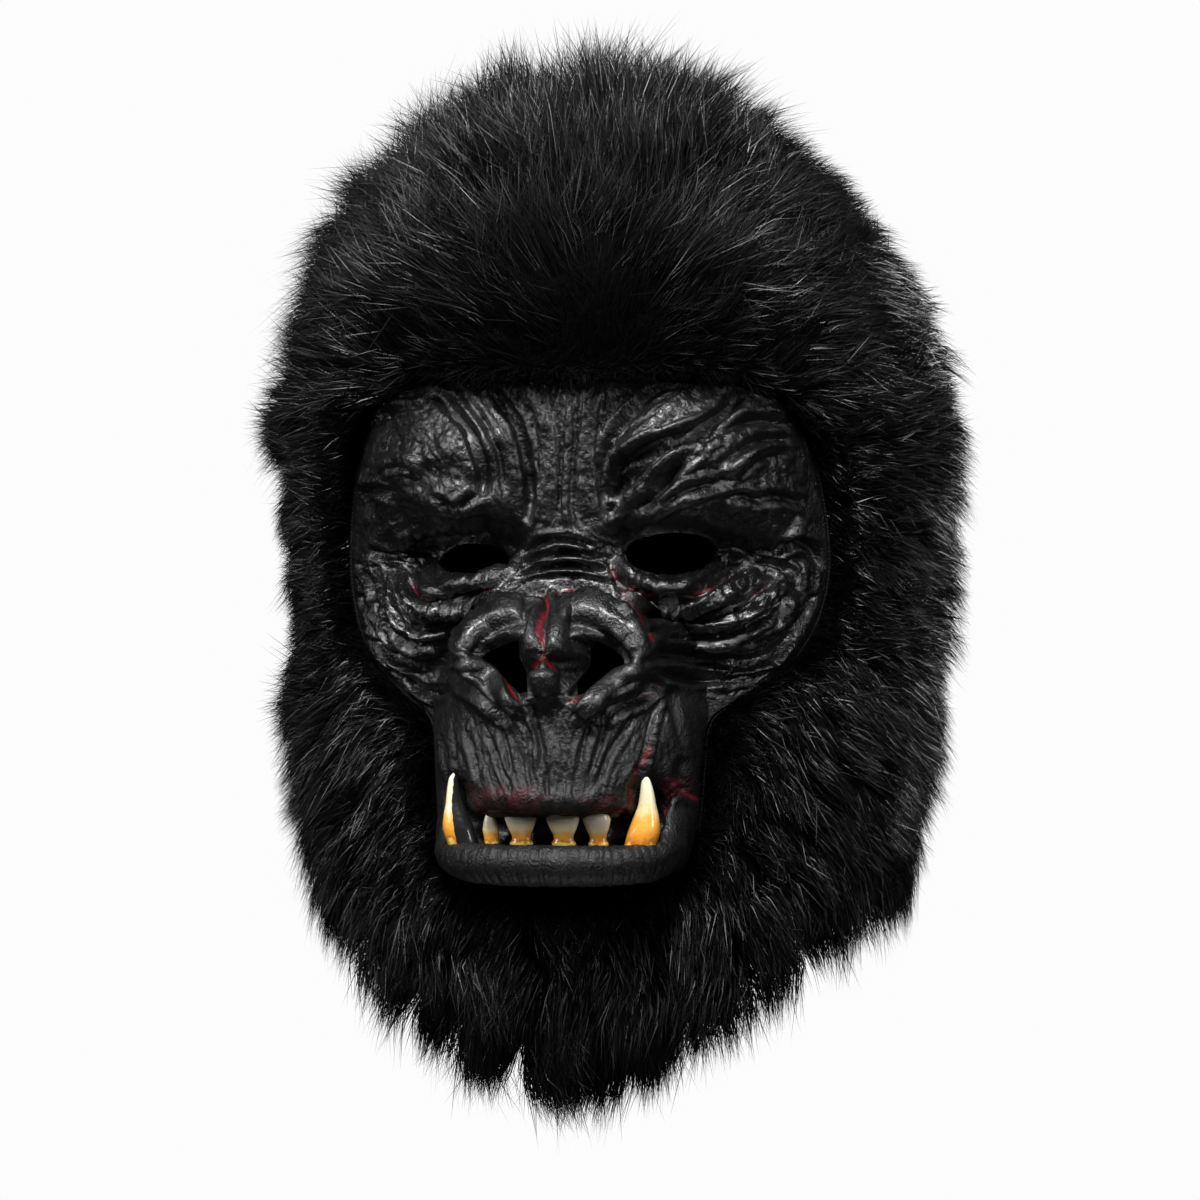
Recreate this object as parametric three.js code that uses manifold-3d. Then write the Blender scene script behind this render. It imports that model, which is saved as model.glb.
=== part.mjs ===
// Over-the-head gorilla mask: a moulded rubber face with cut eye holes and nostrils, six separate
// teeth standing in its mouth, and a hood of long-pile fur fabric that covers the head and throat.
// Millimetres, +Z up. The face looks along -Y and +X is the wearer's left. The origin is the inside
// of the crown, where the hood sits on the top of the head.
import * as THREE from "three";
import { mergeVertices } from "three/addons/utils/BufferGeometryUtils.js";
import Module from "manifold-3d";

const wasm = await Module();
wasm.setup();

// Driving sizes of the hood's cloth, measured on its outside
const hoodHalfWidth = 93;
const hoodFront = 97;
const hoodBack = 99;
const bandDrop = 90; // crown seat down to the widest level, where the dome starts
const chinHemDrop = 279; // crown seat down to the hem in front of the throat
const napeHemDrop = 225; // crown seat down to the hem at the nape
const hemSweep = 5; // how quickly the hem climbs from the throat to the sides
const clothWall = 2;

// Driving sizes of the face
const faceTop = -78;
const faceHeight = 150;
const faceHalfWidth = 74;
const muzzleReach = 33; // how far the muzzle stands out of the head's own curve
const reliefHeight = 10; // the brow lobe's rise, which the other swells and folds are shares of
const rubberWall = 2.5;
const rimRoundover = 7; // the strip inside the rim over which the relief dies away
const eyeSpacing = 59;
const eyeWidth = 28.5;
const eyeHeight = 12.5;
const eyeDrop = 129.5;

// Driving sizes of the fur and of the teeth
const crownPile = 33;
const sidePile = 23;
const tuckedPile = 0.8; // share of the pile's height that a lock's root has, under the lock above
const pileAtFace = 0.4; // share of the pile's height that is left right beside the face
const pileClimb = 30; // distance from the face at which the pile has its full height
const lockOverhang = 6;
const hemFringe = 19;
const lockRows = 10;
const beardHalfWidth = 36;
const fangHeight = 22.5;

// Gaps between pieces that touch
const seatGap = 0.35;
const rimGap = 0.6;
const furGap = 0.4;

const faceSteps = { across: 32, down: 35 };
const hoodSteps = { around: 44, down: 12 }; // two steps round the hood make one lock of fur
const prismBack = -15; // the cutters run forward from here, through the front wall only
const prismLength = 200;

// Level sections of the head below the band, each a share of the hood's sizes
const headSections = [
  { down: 0.316, side: 1.0, front: 0.93, back: 0.98 },
  { down: 0.42, side: 0.99, front: 0.93, back: 1.0 },
  { down: 0.526, side: 0.97, front: 0.94, back: 0.97 },
  { down: 0.63, side: 0.935, front: 0.96, back: 0.89 },
  { down: 0.737, side: 0.89, front: 0.995, back: 0.81 },
  { down: 0.825, side: 0.85, front: 1.0, back: 0.77 },
  { down: 0.895, side: 0.82, front: 0.93, back: 0.76 },
  { down: 1.0, side: 0.77, front: 0.76, back: 0.76 },
];

// Half width of the face's outline, from the brow down to the lip
const outlineRows = [
  { down: 0.0, half: 0.62 },
  { down: 0.035, half: 0.82 },
  { down: 0.09, half: 0.905 },
  { down: 0.19, half: 0.965 },
  { down: 0.35, half: 1.0 },
  { down: 0.47, half: 0.96 },
  { down: 0.56, half: 0.86 },
  { down: 0.62, half: 0.71 },
  { down: 0.67, half: 0.575 },
  { down: 0.75, half: 0.55 },
  { down: 0.85, half: 0.535 },
  { down: 0.93, half: 0.51 },
  { down: 0.975, half: 0.45 },
  { down: 1.0, half: 0.27 },
];

// Muzzle: half width, rise and how steeply its side meets the cheek (0.5 is upright)
const muzzleRows = [
  { down: 0.3, half: 0.16, rise: 0.0, foot: 1.6 },
  { down: 0.38, half: 0.24, rise: 0.05, foot: 1.6 },
  { down: 0.44, half: 0.38, rise: 0.34, foot: 1.3 },
  { down: 0.5, half: 0.48, rise: 0.74, foot: 1.1 },
  { down: 0.56, half: 0.53, rise: 0.92, foot: 1.0 },
  { down: 0.62, half: 0.55, rise: 0.92, foot: 0.8 },
  { down: 0.67, half: 0.56, rise: 0.86, foot: 0.55 },
  { down: 0.75, half: 0.55, rise: 0.93, foot: 0.5 },
  { down: 0.83, half: 0.54, rise: 0.88, foot: 0.5 },
  { down: 0.9, half: 0.53, rise: 0.72, foot: 0.5 },
  { down: 0.96, half: 0.5, rise: 0.6, foot: 0.5 },
  { down: 1.0, half: 0.4, rise: 0.2, foot: 0.5 },
];
const muzzleSquareness = 2.4;

// Rounded swells and hollows, the same on both sides. A negative rise is a hollow.
const swells = [
  { name: "brow", across: 0.52, down: 0.15, wide: 0.46, tall: 0.17, rise: 1.25 },
  { name: "brow_edge", across: 0.45, down: 0.25, wide: 0.36, tall: 0.065, rise: 0.5 },
  { name: "temple", across: 0.82, down: 0.22, wide: 0.24, tall: 0.17, rise: 0.5 },
  { name: "socket", across: 0.4, down: 0.335, wide: 0.36, tall: 0.08, rise: -1.4 },
  { name: "outer_socket", across: 0.7, down: 0.35, wide: 0.24, tall: 0.07, rise: -0.6 },
  { name: "cheek", across: 0.74, down: 0.475, wide: 0.32, tall: 0.13, rise: 0.95 },
  { name: "eye_bag", across: 0.44, down: 0.43, wide: 0.3, tall: 0.055, rise: 0.5 },
  { name: "nose_wing", across: 0.37, down: 0.55, wide: 0.15, tall: 0.09, rise: 0.35 },
  { name: "nostril", across: 0.17, down: 0.565, wide: 0.19, tall: 0.075, rise: -1.2 },
  { name: "fang_notch", across: 0.37, down: 0.83, wide: 0.1, tall: 0.07, rise: -0.5 },
];

// Long folds: each runs through its points, and a negative rise is a groove
const folds = [
  { name: "inner_brow", width: 0.028, rise: -0.26, mirrored: true,
    through: [[0.3, 0.01], [0.2, 0.07], [0.16, 0.14], [0.16, 0.27]] },
  { name: "right_brow", width: 0.028, rise: -0.26, mirrored: false,
    through: [[-0.55, 0.02], [-0.41, 0.084], [-0.34, 0.15], [-0.33, 0.23]] },
  { name: "left_brow", width: 0.03, rise: -0.32, mirrored: false,
    through: [[0.68, 0.02], [0.55, 0.1], [0.34, 0.169], [0.2, 0.265]] },
  { name: "eyelid", width: 0.026, rise: 0.25, mirrored: true,
    through: [[0.21, 0.365], [0.3, 0.395], [0.42, 0.409], [0.58, 0.366]] },
  { name: "bag_crease", width: 0.028, rise: -0.22, mirrored: true,
    through: [[0.22, 0.41], [0.36, 0.465], [0.58, 0.472], [0.78, 0.4]] },
  { name: "cheek_crease", width: 0.03, rise: -0.28, mirrored: true,
    through: [[0.45, 0.53], [0.6, 0.565], [0.78, 0.54], [0.93, 0.44]] },
  { name: "nose_top_crease", width: 0.028, rise: -0.3, mirrored: false,
    through: [[-0.42, 0.49], [-0.2, 0.42], [0.0, 0.4], [0.2, 0.42], [0.42, 0.49]] },
  { name: "nostril_roll", width: 0.036, rise: 0.6, mirrored: true,
    through: [[0.06, 0.45], [0.2, 0.455], [0.34, 0.505], [0.36, 0.565], [0.25, 0.615], [0.08, 0.67]] },
  { name: "septum", width: 0.03, rise: 0.55, mirrored: false,
    through: [[0.0, 0.45], [0.0, 0.53], [0.0, 0.61]] },
  { name: "upper_lip", width: 0.028, rise: 0.25, mirrored: false,
    through: [[-0.32, 0.775], [-0.2, 0.815], [0.0, 0.82], [0.2, 0.815], [0.32, 0.775]] },
  { name: "mouth", width: 0.034, rise: -0.8, mirrored: false,
    through: [[-0.43, 0.81], [-0.33, 0.87], [-0.15, 0.882], [0.15, 0.882], [0.33, 0.87], [0.43, 0.81]] },
  { name: "lower_lip", width: 0.03, rise: 0.55, mirrored: false,
    through: [[-0.5, 0.85], [-0.43, 0.93], [-0.22, 0.955], [0.22, 0.955], [0.43, 0.93], [0.5, 0.85]] },
];
const foldPoints = 10; // straight steps along each fold

// Outline of the wearer's left nostril, from the inner top round the wing to the septum
const nostrilOutline = [
  [0.1, 0.515], [0.18, 0.512], [0.25, 0.535], [0.28, 0.558],
  [0.2, 0.598], [0.11, 0.627], [0.07, 0.6], [0.12, 0.555],
];

// Teeth: place of the root's middle on the face, then sizes as shares of a fang's height. The lean
// and the bow carry the tip outwards.
const teeth = [
  { name: "right_fang", form: "fang", across: -0.355, down: 0.925,
    wide: 0.42, thick: 0.36, tall: 1.0, lean: 0.16, bow: 0.2 },
  { name: "right_outer_tooth", form: "thorn", across: -0.235, down: 0.915,
    wide: 0.22, thick: 0.2, tall: 0.45, lean: 0.1, bow: 0 },
  { name: "right_middle_tooth", form: "peg", across: -0.11, down: 0.915,
    wide: 0.42, thick: 0.22, tall: 0.48, lean: 0.05, bow: 0 },
  { name: "left_middle_tooth", form: "peg", across: 0.06, down: 0.915,
    wide: 0.44, thick: 0.22, tall: 0.48, lean: -0.02, bow: 0 },
  { name: "left_outer_tooth", form: "peg", across: 0.195, down: 0.915,
    wide: 0.37, thick: 0.22, tall: 0.46, lean: -0.05, bow: 0 },
  { name: "left_fang", form: "fang", across: 0.345, down: 0.928,
    wide: 0.43, thick: 0.36, tall: 1.02, lean: 0.09, bow: 0.28 },
];
const toothStand = 0.11; // share of a fang's height by which a tooth's root stands off the gum
const toothForms = {
  fang: [
    { up: 0.0, size: 0.88 },
    { up: 0.28, size: 1.0 },
    { up: 0.5, size: 0.74 },
    { up: 0.68, size: 0.5 },
    { up: 0.9, size: 0.3 },
  ],
  thorn: [
    { up: 0.0, size: 0.8 },
    { up: 0.2, size: 0.92 },
    { up: 0.45, size: 1.0 },
    { up: 0.7, size: 0.74 },
    { up: 0.9, size: 0.4 },
  ],
  peg: [
    { up: 0.0, size: 0.78 },
    { up: 0.16, size: 0.68 },
    { up: 0.42, size: 0.82 },
    { up: 0.7, size: 1.0 },
    { up: 0.92, size: 0.86 },
  ],
};
const toothSides = 10;

const clamp = (value, low, high) => Math.min(high, Math.max(low, value));
const smooth = (share) => {
  const s = clamp(share, 0, 1);
  return s * s * (3 - 2 * s);
};

// Smooth value of one column of a table, at a place given in the table's down column
function along(rows, column, down) {
  const at = clamp(down, rows[0].down, rows[rows.length - 1].down);
  let i = 0;
  while (i < rows.length - 2 && at > rows[i + 1].down) i++;
  const slope = (k) => {
    const before = rows[Math.max(k - 1, 0)];
    const after = rows[Math.min(k + 1, rows.length - 1)];
    return (after[column] - before[column]) / (after.down - before.down);
  };
  const span = rows[i + 1].down - rows[i].down;
  const s = (at - rows[i].down) / span;
  return (
    (2 * s ** 3 - 3 * s ** 2 + 1) * rows[i][column] +
    (s ** 3 - 2 * s ** 2 + s) * span * slope(i) +
    (3 * s ** 2 - 2 * s ** 3) * rows[i + 1][column] +
    (s ** 3 - s ** 2) * span * slope(i + 1)
  );
}

// Level section of the cloth's outside: a dome above the band, the table below it
function headSection(z) {
  const down = -z / chinHemDrop;
  const climb = clamp((z + bandDrop) / (bandDrop + clothWall), 0, 1);
  const dome = Math.sqrt(1 - climb * climb);
  return {
    side: hoodHalfWidth * along(headSections, "side", down) * dome,
    front: hoodFront * along(headSections, "front", down) * dome,
    back: hoodBack * along(headSections, "back", down) * dome,
  };
}

const hemAt = (turn) =>
  -(napeHemDrop + (chinHemDrop - napeHemDrop) * ((1 + Math.cos(turn)) / 2) ** hemSweep);

// Point of the cloth's outside: turn 0 is the front, and drop runs from the crown to the hem
function headPoint(turn, drop) {
  const crownRoundness = 0.35; // keeps the rings evenly spaced over the crown
  const fall = ((1 + crownRoundness) * drop * drop) / (drop + crownRoundness);
  const z = clothWall + (hemAt(turn) - clothWall) * fall;
  const { side, front, back } = headSection(z);
  const deep = Math.cos(turn) > 0 ? front : back;
  return new THREE.Vector3(side * Math.sin(turn), -deep * Math.cos(turn), z);
}

function headNormal(turn, drop) {
  const step = 0.01;
  const middle = clamp(drop, 3 * step, 1 - step);
  const downhill = headPoint(turn, middle + step).sub(headPoint(turn, middle - step));
  const sideways = headPoint(turn + step, middle).sub(headPoint(turn - step, middle));
  return downhill.cross(sideways).normalize();
}

const headDepth = (x, z) => {
  const { side, front } = headSection(z);
  return front * Math.sqrt(Math.max(1 - (x / side) ** 2, 0.02));
};

const downFace = (z) => (faceTop - z) / faceHeight;
const outlineHalf = (down) => faceHalfWidth * along(outlineRows, "half", down);

// How far a point lies inside the face's outline, measured level or upright
function insideRim(x, z) {
  const down = downFace(z);
  return Math.min(
    outlineHalf(down) - Math.abs(x),
    down * faceHeight,
    (1 - down) * faceHeight,
  );
}

// Each fold as a run of short straight pieces, with its mirror image where it has one
const foldLines = folds.flatMap((fold) =>
  (fold.mirrored ? [1, -1] : [1]).map((side) => ({
    ...fold,
    line: new THREE.SplineCurve(
      fold.through.map(
        ([across, down]) =>
          new THREE.Vector2(side * across * faceHalfWidth, faceTop - down * faceHeight),
      ),
    ).getPoints(foldPoints),
  })),
);

function foldRise(fold, x, z) {
  let nearest = Infinity;
  let place = 0;
  for (let i = 0; i < fold.line.length - 1; i++) {
    const a = fold.line[i];
    const b = fold.line[i + 1];
    const [dx, dz] = [b.x - a.x, b.y - a.y];
    const s = clamp(((x - a.x) * dx + (z - a.y) * dz) / (dx * dx + dz * dz), 0, 1);
    const away = Math.hypot(x - a.x - s * dx, z - a.y - s * dz);
    if (away < nearest) {
      nearest = away;
      place = (i + s) / (fold.line.length - 1);
    }
  }
  const taper = Math.sqrt(clamp(Math.sin(Math.PI * place) + 0.12, 0, 1));
  return fold.rise * taper * Math.exp(-((nearest / (fold.width * faceHeight)) ** 2));
}

function swellRise(swell, x, z) {
  const dx = (Math.abs(x) - swell.across * faceHalfWidth) / (swell.wide * faceHalfWidth);
  const dz = (z - faceTop + swell.down * faceHeight) / (swell.tall * faceHeight);
  const away = dx * dx + dz * dz;
  return away < 1 ? swell.rise * (1 - away) ** 2 : 0;
}

function muzzleRise(x, z) {
  const down = downFace(z);
  if (down < muzzleRows[0].down) return 0;
  const half = faceHalfWidth * along(muzzleRows, "half", down);
  const share = clamp(Math.abs(x) / half, 0, 1);
  const foot = along(muzzleRows, "foot", down);
  return along(muzzleRows, "rise", down) * (1 - share ** muzzleSquareness) ** foot;
}

// How far the face's outer surface stands in front of the middle of the head
function faceDepth(x, z) {
  const inside = insideRim(x, z);
  if (inside <= 0) return headDepth(x, z);
  const near = clamp(inside / rimRoundover, 0, 1);
  const fade = 1 - (1 - near) ** 2;
  const relief =
    swells.reduce((sum, swell) => sum + swellRise(swell, x, z), 0) +
    foldLines.reduce((sum, fold) => sum + foldRise(fold, x, z), 0);
  const endFade = Math.sqrt(1 - (1 - clamp((1 - downFace(z)) * faceHeight / rimRoundover, 0, 1)) ** 2);
  return headDepth(x, z) + muzzleReach * muzzleRise(x, z) * endFade + reliefHeight * relief * fade;
}

// The inside of the rubber: the deepest that a ball of the wall's radius reaches from the outside
function innerDepth(x, z) {
  const around = 8;
  let least = faceDepth(x, z) - rubberWall;
  for (const share of [0.5, 0.87, 1]) {
    const reach = rubberWall * Math.sqrt(1 - share * share);
    for (let k = 0; k < around; k++) {
      const angle = (2 * Math.PI * k) / around;
      const beside = faceDepth(
        x + share * rubberWall * Math.cos(angle),
        z + share * rubberWall * Math.sin(angle),
      );
      least = Math.min(least, beside - reach);
    }
  }
  return least;
}

function geometryOf(points, triangles) {
  const positions = new Float32Array(points.length * 3);
  points.forEach((point, i) => positions.set([point.x, point.y, point.z], 3 * i));
  const geometry = new THREE.BufferGeometry();
  geometry.setAttribute("position", new THREE.BufferAttribute(positions, 3));
  geometry.setIndex(triangles);
  return geometry;
}

// A closed skin over two poles and the rings between them, each ring with as many points
function skinOverRings(firstPole, rings, lastPole) {
  const around = rings[0].length;
  const points = [firstPole, ...rings.flat(), lastPole];
  const at = (ring, k) => 1 + ring * around + (k % around);
  const triangles = [];
  for (let k = 0; k < around; k++) {
    triangles.push(0, at(0, k), at(0, k + 1));
    triangles.push(points.length - 1, at(rings.length - 1, k + 1), at(rings.length - 1, k));
    for (let ring = 0; ring < rings.length - 1; ring++) {
      const [a, b] = [at(ring, k), at(ring, k + 1)];
      const [c, d] = [at(ring + 1, k), at(ring + 1, k + 1)];
      // skins laid over each other bend alike: the diagonal climbs the same way in each
      const climbs = rings[ring + 1][k].z > rings[ring][k].z;
      triangles.push(...(climbs ? [a, c, d, a, d, b] : [a, c, b, b, c, d]));
    }
  }
  return geometryOf(points, triangles);
}

// A closed sheet between two grids of points that share their rim's layout
function sheetBetween(outer, inner) {
  const rows = outer.length;
  const columns = outer[0].length;
  const points = [...outer.flat(), ...inner.flat()];
  const front = (r, c) => r * columns + c;
  const behind = (r, c) => rows * columns + r * columns + c;
  const triangles = [];
  const quad = (a, b, c, d) => {
    // split along the shorter diagonal, so that steep folds stay smooth
    const first = points[a].distanceTo(points[c]) <= points[b].distanceTo(points[d]);
    triangles.push(...(first ? [a, b, c, a, c, d] : [a, b, d, b, c, d]));
  };
  for (let r = 0; r < rows - 1; r++)
    for (let c = 0; c < columns - 1; c++) {
      quad(front(r, c), front(r + 1, c), front(r + 1, c + 1), front(r, c + 1));
      quad(behind(r, c), behind(r, c + 1), behind(r + 1, c + 1), behind(r + 1, c));
    }
  for (let r = 0; r < rows - 1; r++) {
    quad(front(r, 0), behind(r, 0), behind(r + 1, 0), front(r + 1, 0));
    quad(front(r + 1, columns - 1), behind(r + 1, columns - 1), behind(r, columns - 1), front(r, columns - 1));
  }
  for (let c = 0; c < columns - 1; c++) {
    quad(front(0, c + 1), behind(0, c + 1), behind(0, c), front(0, c));
    quad(front(rows - 1, c), behind(rows - 1, c), behind(rows - 1, c + 1), front(rows - 1, c + 1));
  }
  return geometryOf(points, triangles);
}

function solidOf(geometry) {
  const bare = geometry.clone();
  bare.deleteAttribute("normal");
  bare.deleteAttribute("uv");
  const merged = mergeVertices(bare, 1e-4);
  const triVerts = new Uint32Array(merged.index.array);
  const vertProperties = new Float32Array(merged.attributes.position.array);
  const made = new wasm.Manifold(new wasm.Mesh({ numProp: 3, vertProperties, triVerts }));
  if (made.volume() > 0) return made;
  for (let i = 0; i < triVerts.length; i += 3)
    [triVerts[i + 1], triVerts[i + 2]] = [triVerts[i + 2], triVerts[i + 1]];
  return new wasm.Manifold(new wasm.Mesh({ numProp: 3, vertProperties, triVerts }));
}

function largestBody(solid) {
  return solid.decompose().reduce((best, body) => (body.volume() > best.volume() ? body : best));
}

function pieceOf(name, solid, material) {
  const { numProp, vertProperties, triVerts } = largestBody(solid).getMesh();
  const positions = new Float32Array((vertProperties.length / numProp) * 3);
  for (let i = 0; i < positions.length / 3; i++)
    positions.set(vertProperties.subarray(i * numProp, i * numProp + 3), 3 * i);
  const geometry = new THREE.BufferGeometry();
  geometry.setAttribute("position", new THREE.BufferAttribute(positions, 3));
  geometry.setIndex(new THREE.BufferAttribute(triVerts, 1));
  geometry.computeVertexNormals();
  const piece = new THREE.Mesh(geometry, material);
  piece.name = name;
  return piece;
}

// A cutter that runs front to back through the mask's front wall, over an outline in x and z
function prismOver(shape) {
  const prism = new THREE.ExtrudeGeometry(shape, {
    depth: prismLength,
    bevelEnabled: false,
    curveSegments: 5,
  });
  return solidOf(prism.rotateX(Math.PI / 2).translate(0, prismBack, 0));
}

// The face's outline, moved out by a gap along its own normal
function grownOutline(gap) {
  const side = [];
  const rows = faceSteps.down;
  for (let r = 0; r <= rows; r++) {
    const down = r / rows;
    side.push(new THREE.Vector2(outlineHalf(down), faceTop - down * faceHeight));
  }
  const ring = [...side, ...side.map((p) => new THREE.Vector2(-p.x, p.y)).reverse()];
  return ring.map((p, i) => {
    const before = ring[(i + ring.length - 1) % ring.length];
    const after = ring[(i + 1) % ring.length];
    const run = after.clone().sub(before).normalize();
    return new THREE.Vector2(p.x - run.y * gap, p.y + run.x * gap);
  });
}

const materials = {
  rubber: new THREE.MeshStandardMaterial({ color: 0x17181a, roughness: 0.45, metalness: 0 }),
  cloth: new THREE.MeshStandardMaterial({ color: 0x141214, roughness: 0.95, metalness: 0 }),
  fur: new THREE.MeshStandardMaterial({ color: 0x0b0b0c, roughness: 0.7, metalness: 0 }),
  enamel: new THREE.MeshStandardMaterial({ color: 0xe8d9a8, roughness: 0.25, metalness: 0 }),
};

// Moulded face: one wall of rubber from the brow to the lower lip, with the holes cut through it
function faceSolid() {
  const outer = [];
  const inner = [];
  for (let r = 0; r <= faceSteps.down; r++) {
    const down = r / faceSteps.down;
    const z = faceTop - down * faceHeight;
    const outerRow = [];
    const innerRow = [];
    for (let c = 0; c <= faceSteps.across; c++) {
      // the columns crowd towards both rims, where the muzzle's sides are steep
      const spread = (2 * c) / faceSteps.across - 1;
      const share = 0.55 * spread + 0.45 * Math.sin((Math.PI / 2) * spread);
      const x = outlineHalf(down) * share;
      outerRow.push(new THREE.Vector3(x, -faceDepth(x, z), z));
      innerRow.push(new THREE.Vector3(x, -innerDepth(x, z), z));
    }
    outer.push(outerRow);
    inner.push(innerRow);
  }
  let solid = solidOf(sheetBetween(outer, inner));
  for (const side of [1, -1]) {
    const eye = new THREE.Shape().absellipse(
      (side * eyeSpacing) / 2, -eyeDrop, eyeWidth / 2, eyeHeight / 2, 0, 2 * Math.PI, false, side * 0.06,
    );
    const nostril = new THREE.Shape(
      new THREE.SplineCurve(
        [...nostrilOutline, nostrilOutline[0]].map(
          ([across, down]) =>
            new THREE.Vector2(side * across * faceHalfWidth, faceTop - down * faceHeight),
        ),
      ).getPoints(16),
    );
    solid = solid.subtract(prismOver(eye)).subtract(prismOver(nostril));
  }
  return solid;
}

const hoodTurn = (k) => (2 * Math.PI * k) / hoodSteps.around;

// Rings of points that follow the hood's cloth from the crown to the hem, lifted off its outside
function ringsOverHead(lift) {
  const rings = [];
  for (let r = 1; r <= hoodSteps.down; r++) {
    const drop = r / hoodSteps.down;
    rings.push(
      Array.from({ length: hoodSteps.around }, (_, k) =>
        headPoint(hoodTurn(k), drop).addScaledVector(headNormal(hoodTurn(k), drop), lift),
      ),
    );
  }
  return rings;
}

// Hood cloth: the fabric's own backing, one wall over the head, open at the neck and at the face
function clothSolid() {
  const crown = new THREE.Vector3(0, 0, clothWall);
  const seat = new THREE.Vector3(0, 0, 0);
  const rings = [...ringsOverHead(0), ...ringsOverHead(-clothWall).reverse()];
  return solidOf(skinOverRings(crown, rings, seat));
}

// Height of the pile: long on the crown, short right beside the face
function pileAt(turn, drop) {
  const { x, z } = headPoint(turn, drop);
  const down = downFace(z);
  const beside = Math.hypot(
    Math.max(0, Math.abs(x) - outlineHalf(clamp(down, 0, 1))),
    Math.max(0, -down, down - 1) * faceHeight,
  );
  const behind = Math.max(0, -Math.cos(turn)) * pileClimb * 3;
  const climb = pileAtFace + (1 - pileAtFace) * smooth((beside + behind) / pileClimb);
  return climb * (sidePile + (crownPile - sidePile) * smooth(1 - drop / 0.6));
}

// Fur: rows of overlapping locks round the whole hood, each lifting from its root to its tip, fused
// to one sheet that lies over the cloth
function furSolid() {
  const overlap = 0.06; // share of a row by which its roots start under the row above
  const valley = 0.88;
  const bareCrown = 0.25; // the locks reach their full depth this far down from the crown
  const unlike = (row, k) => 1 + 0.09 * Math.sin(12.9 * row + 4.1 * (k >> 1) + 0.7);
  const ringAt = (row, tips) =>
    Array.from({ length: hoodSteps.around }, (_, k) => {
      const turn = hoodTurn(k);
      const ridge = (k + row) % 2 === 0;
      const last = row === lockRows - 1;
      const drop = (row + (tips ? 1 : overlap)) / lockRows;
      const depth = tips ? (ridge ? unlike(row, k) : valley) : tuckedPile;
      const share = 0.92 + (depth - 0.92) * smooth(drop / bareCrown);
      const fallsIn = tips && last ? (ridge ? 0.5 : 0.3) : 0; // the hem's tips fall back to the neck
      const lift = pileAt(turn, drop) * (share - fallsIn);
      const point = headPoint(turn, drop).addScaledVector(headNormal(turn, drop), lift);
      if (tips) point.z -= (last ? hemFringe : lockOverhang * drop) * (ridge ? unlike(row, k) : 0.3);
      return point;
    });
  const rings = [];
  for (let row = 0; row < lockRows; row++) rings.push(ringAt(row, false), ringAt(row, true));
  const tuft = new THREE.Vector3(0, 0, clothWall + crownPile);
  const under = new THREE.Vector3(0, 0, clothWall + furGap);
  return solidOf(skinOverRings(tuft, [...rings, ...ringsOverHead(furGap).reverse()], under));
}

// One tooth: level rings stacked along a line that leans and bows, to its tip
function toothSolid(tooth) {
  const x = tooth.across * faceHalfWidth;
  const z = faceTop - tooth.down * faceHeight;
  const wide = tooth.wide * fangHeight;
  const thick = tooth.thick * fangHeight;
  const tall = tooth.tall * fangHeight;
  const y = -faceDepth(x, z) + thick / 2 - toothStand * fangHeight;
  const outwards = Math.sign(tooth.across);
  const centreAt = (up) =>
    new THREE.Vector3(
      x + outwards * tall * (tooth.lean * up + tooth.bow * up * (1 - up)),
      y,
      z + tall * up,
    );
  const rings = toothForms[tooth.form].map(({ up, size }) =>
    Array.from({ length: toothSides }, (_, k) => {
      const angle = (2 * Math.PI * k) / toothSides;
      const at = centreAt(up);
      at.x += (Math.cos(angle) * wide * size) / 2;
      at.y += (Math.sin(angle) * thick * size) / 2;
      return at;
    }),
  );
  return solidOf(skinOverRings(centreAt(-0.04), rings, centreAt(1)));
}

const rubberFace = faceSolid();
const faceOpening = prismOver(new THREE.Shape(grownOutline(rimGap)));
const fur = furSolid().subtract(faceOpening);

// The beard panel is sewn in between two seams that run down from the corners of the mouth
function beardShape(gap) {
  const top = faceTop - 0.85 * faceHeight;
  const foot = -chinHemDrop - 2 * hemFringe;
  return new THREE.Shape([
    new THREE.Vector2(-beardHalfWidth - gap, top),
    new THREE.Vector2(beardHalfWidth + gap, top),
    new THREE.Vector2(beardHalfWidth * 1.15 + gap, foot),
    new THREE.Vector2(-beardHalfWidth * 1.15 - gap, foot),
  ]);
}

const mask = new THREE.Group();
mask.add(pieceOf("face", rubberFace, materials.rubber));
mask.add(pieceOf("hood_cloth", clothSolid().subtract(faceOpening), materials.cloth));
mask.add(pieceOf("hood_fur", fur.subtract(prismOver(beardShape(seatGap))), materials.fur));
mask.add(pieceOf("beard_fur", fur.intersect(prismOver(beardShape(0))), materials.fur));

// Each tooth is cut back to a thin gap over the gum and the lip that it stands on
const gums = [
  rubberFace,
  rubberFace.translate(0, -seatGap, 0),
  rubberFace.translate(0, 0, seatGap),
  rubberFace.translate(seatGap, 0, 0),
  rubberFace.translate(-seatGap, 0, 0),
];
for (const tooth of teeth) {
  const cut = gums.reduce((solid, gum) => solid.subtract(gum), toothSolid(tooth));
  mask.add(pieceOf(tooth.name, cut, materials.enamel));
}

export default mask;
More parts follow.
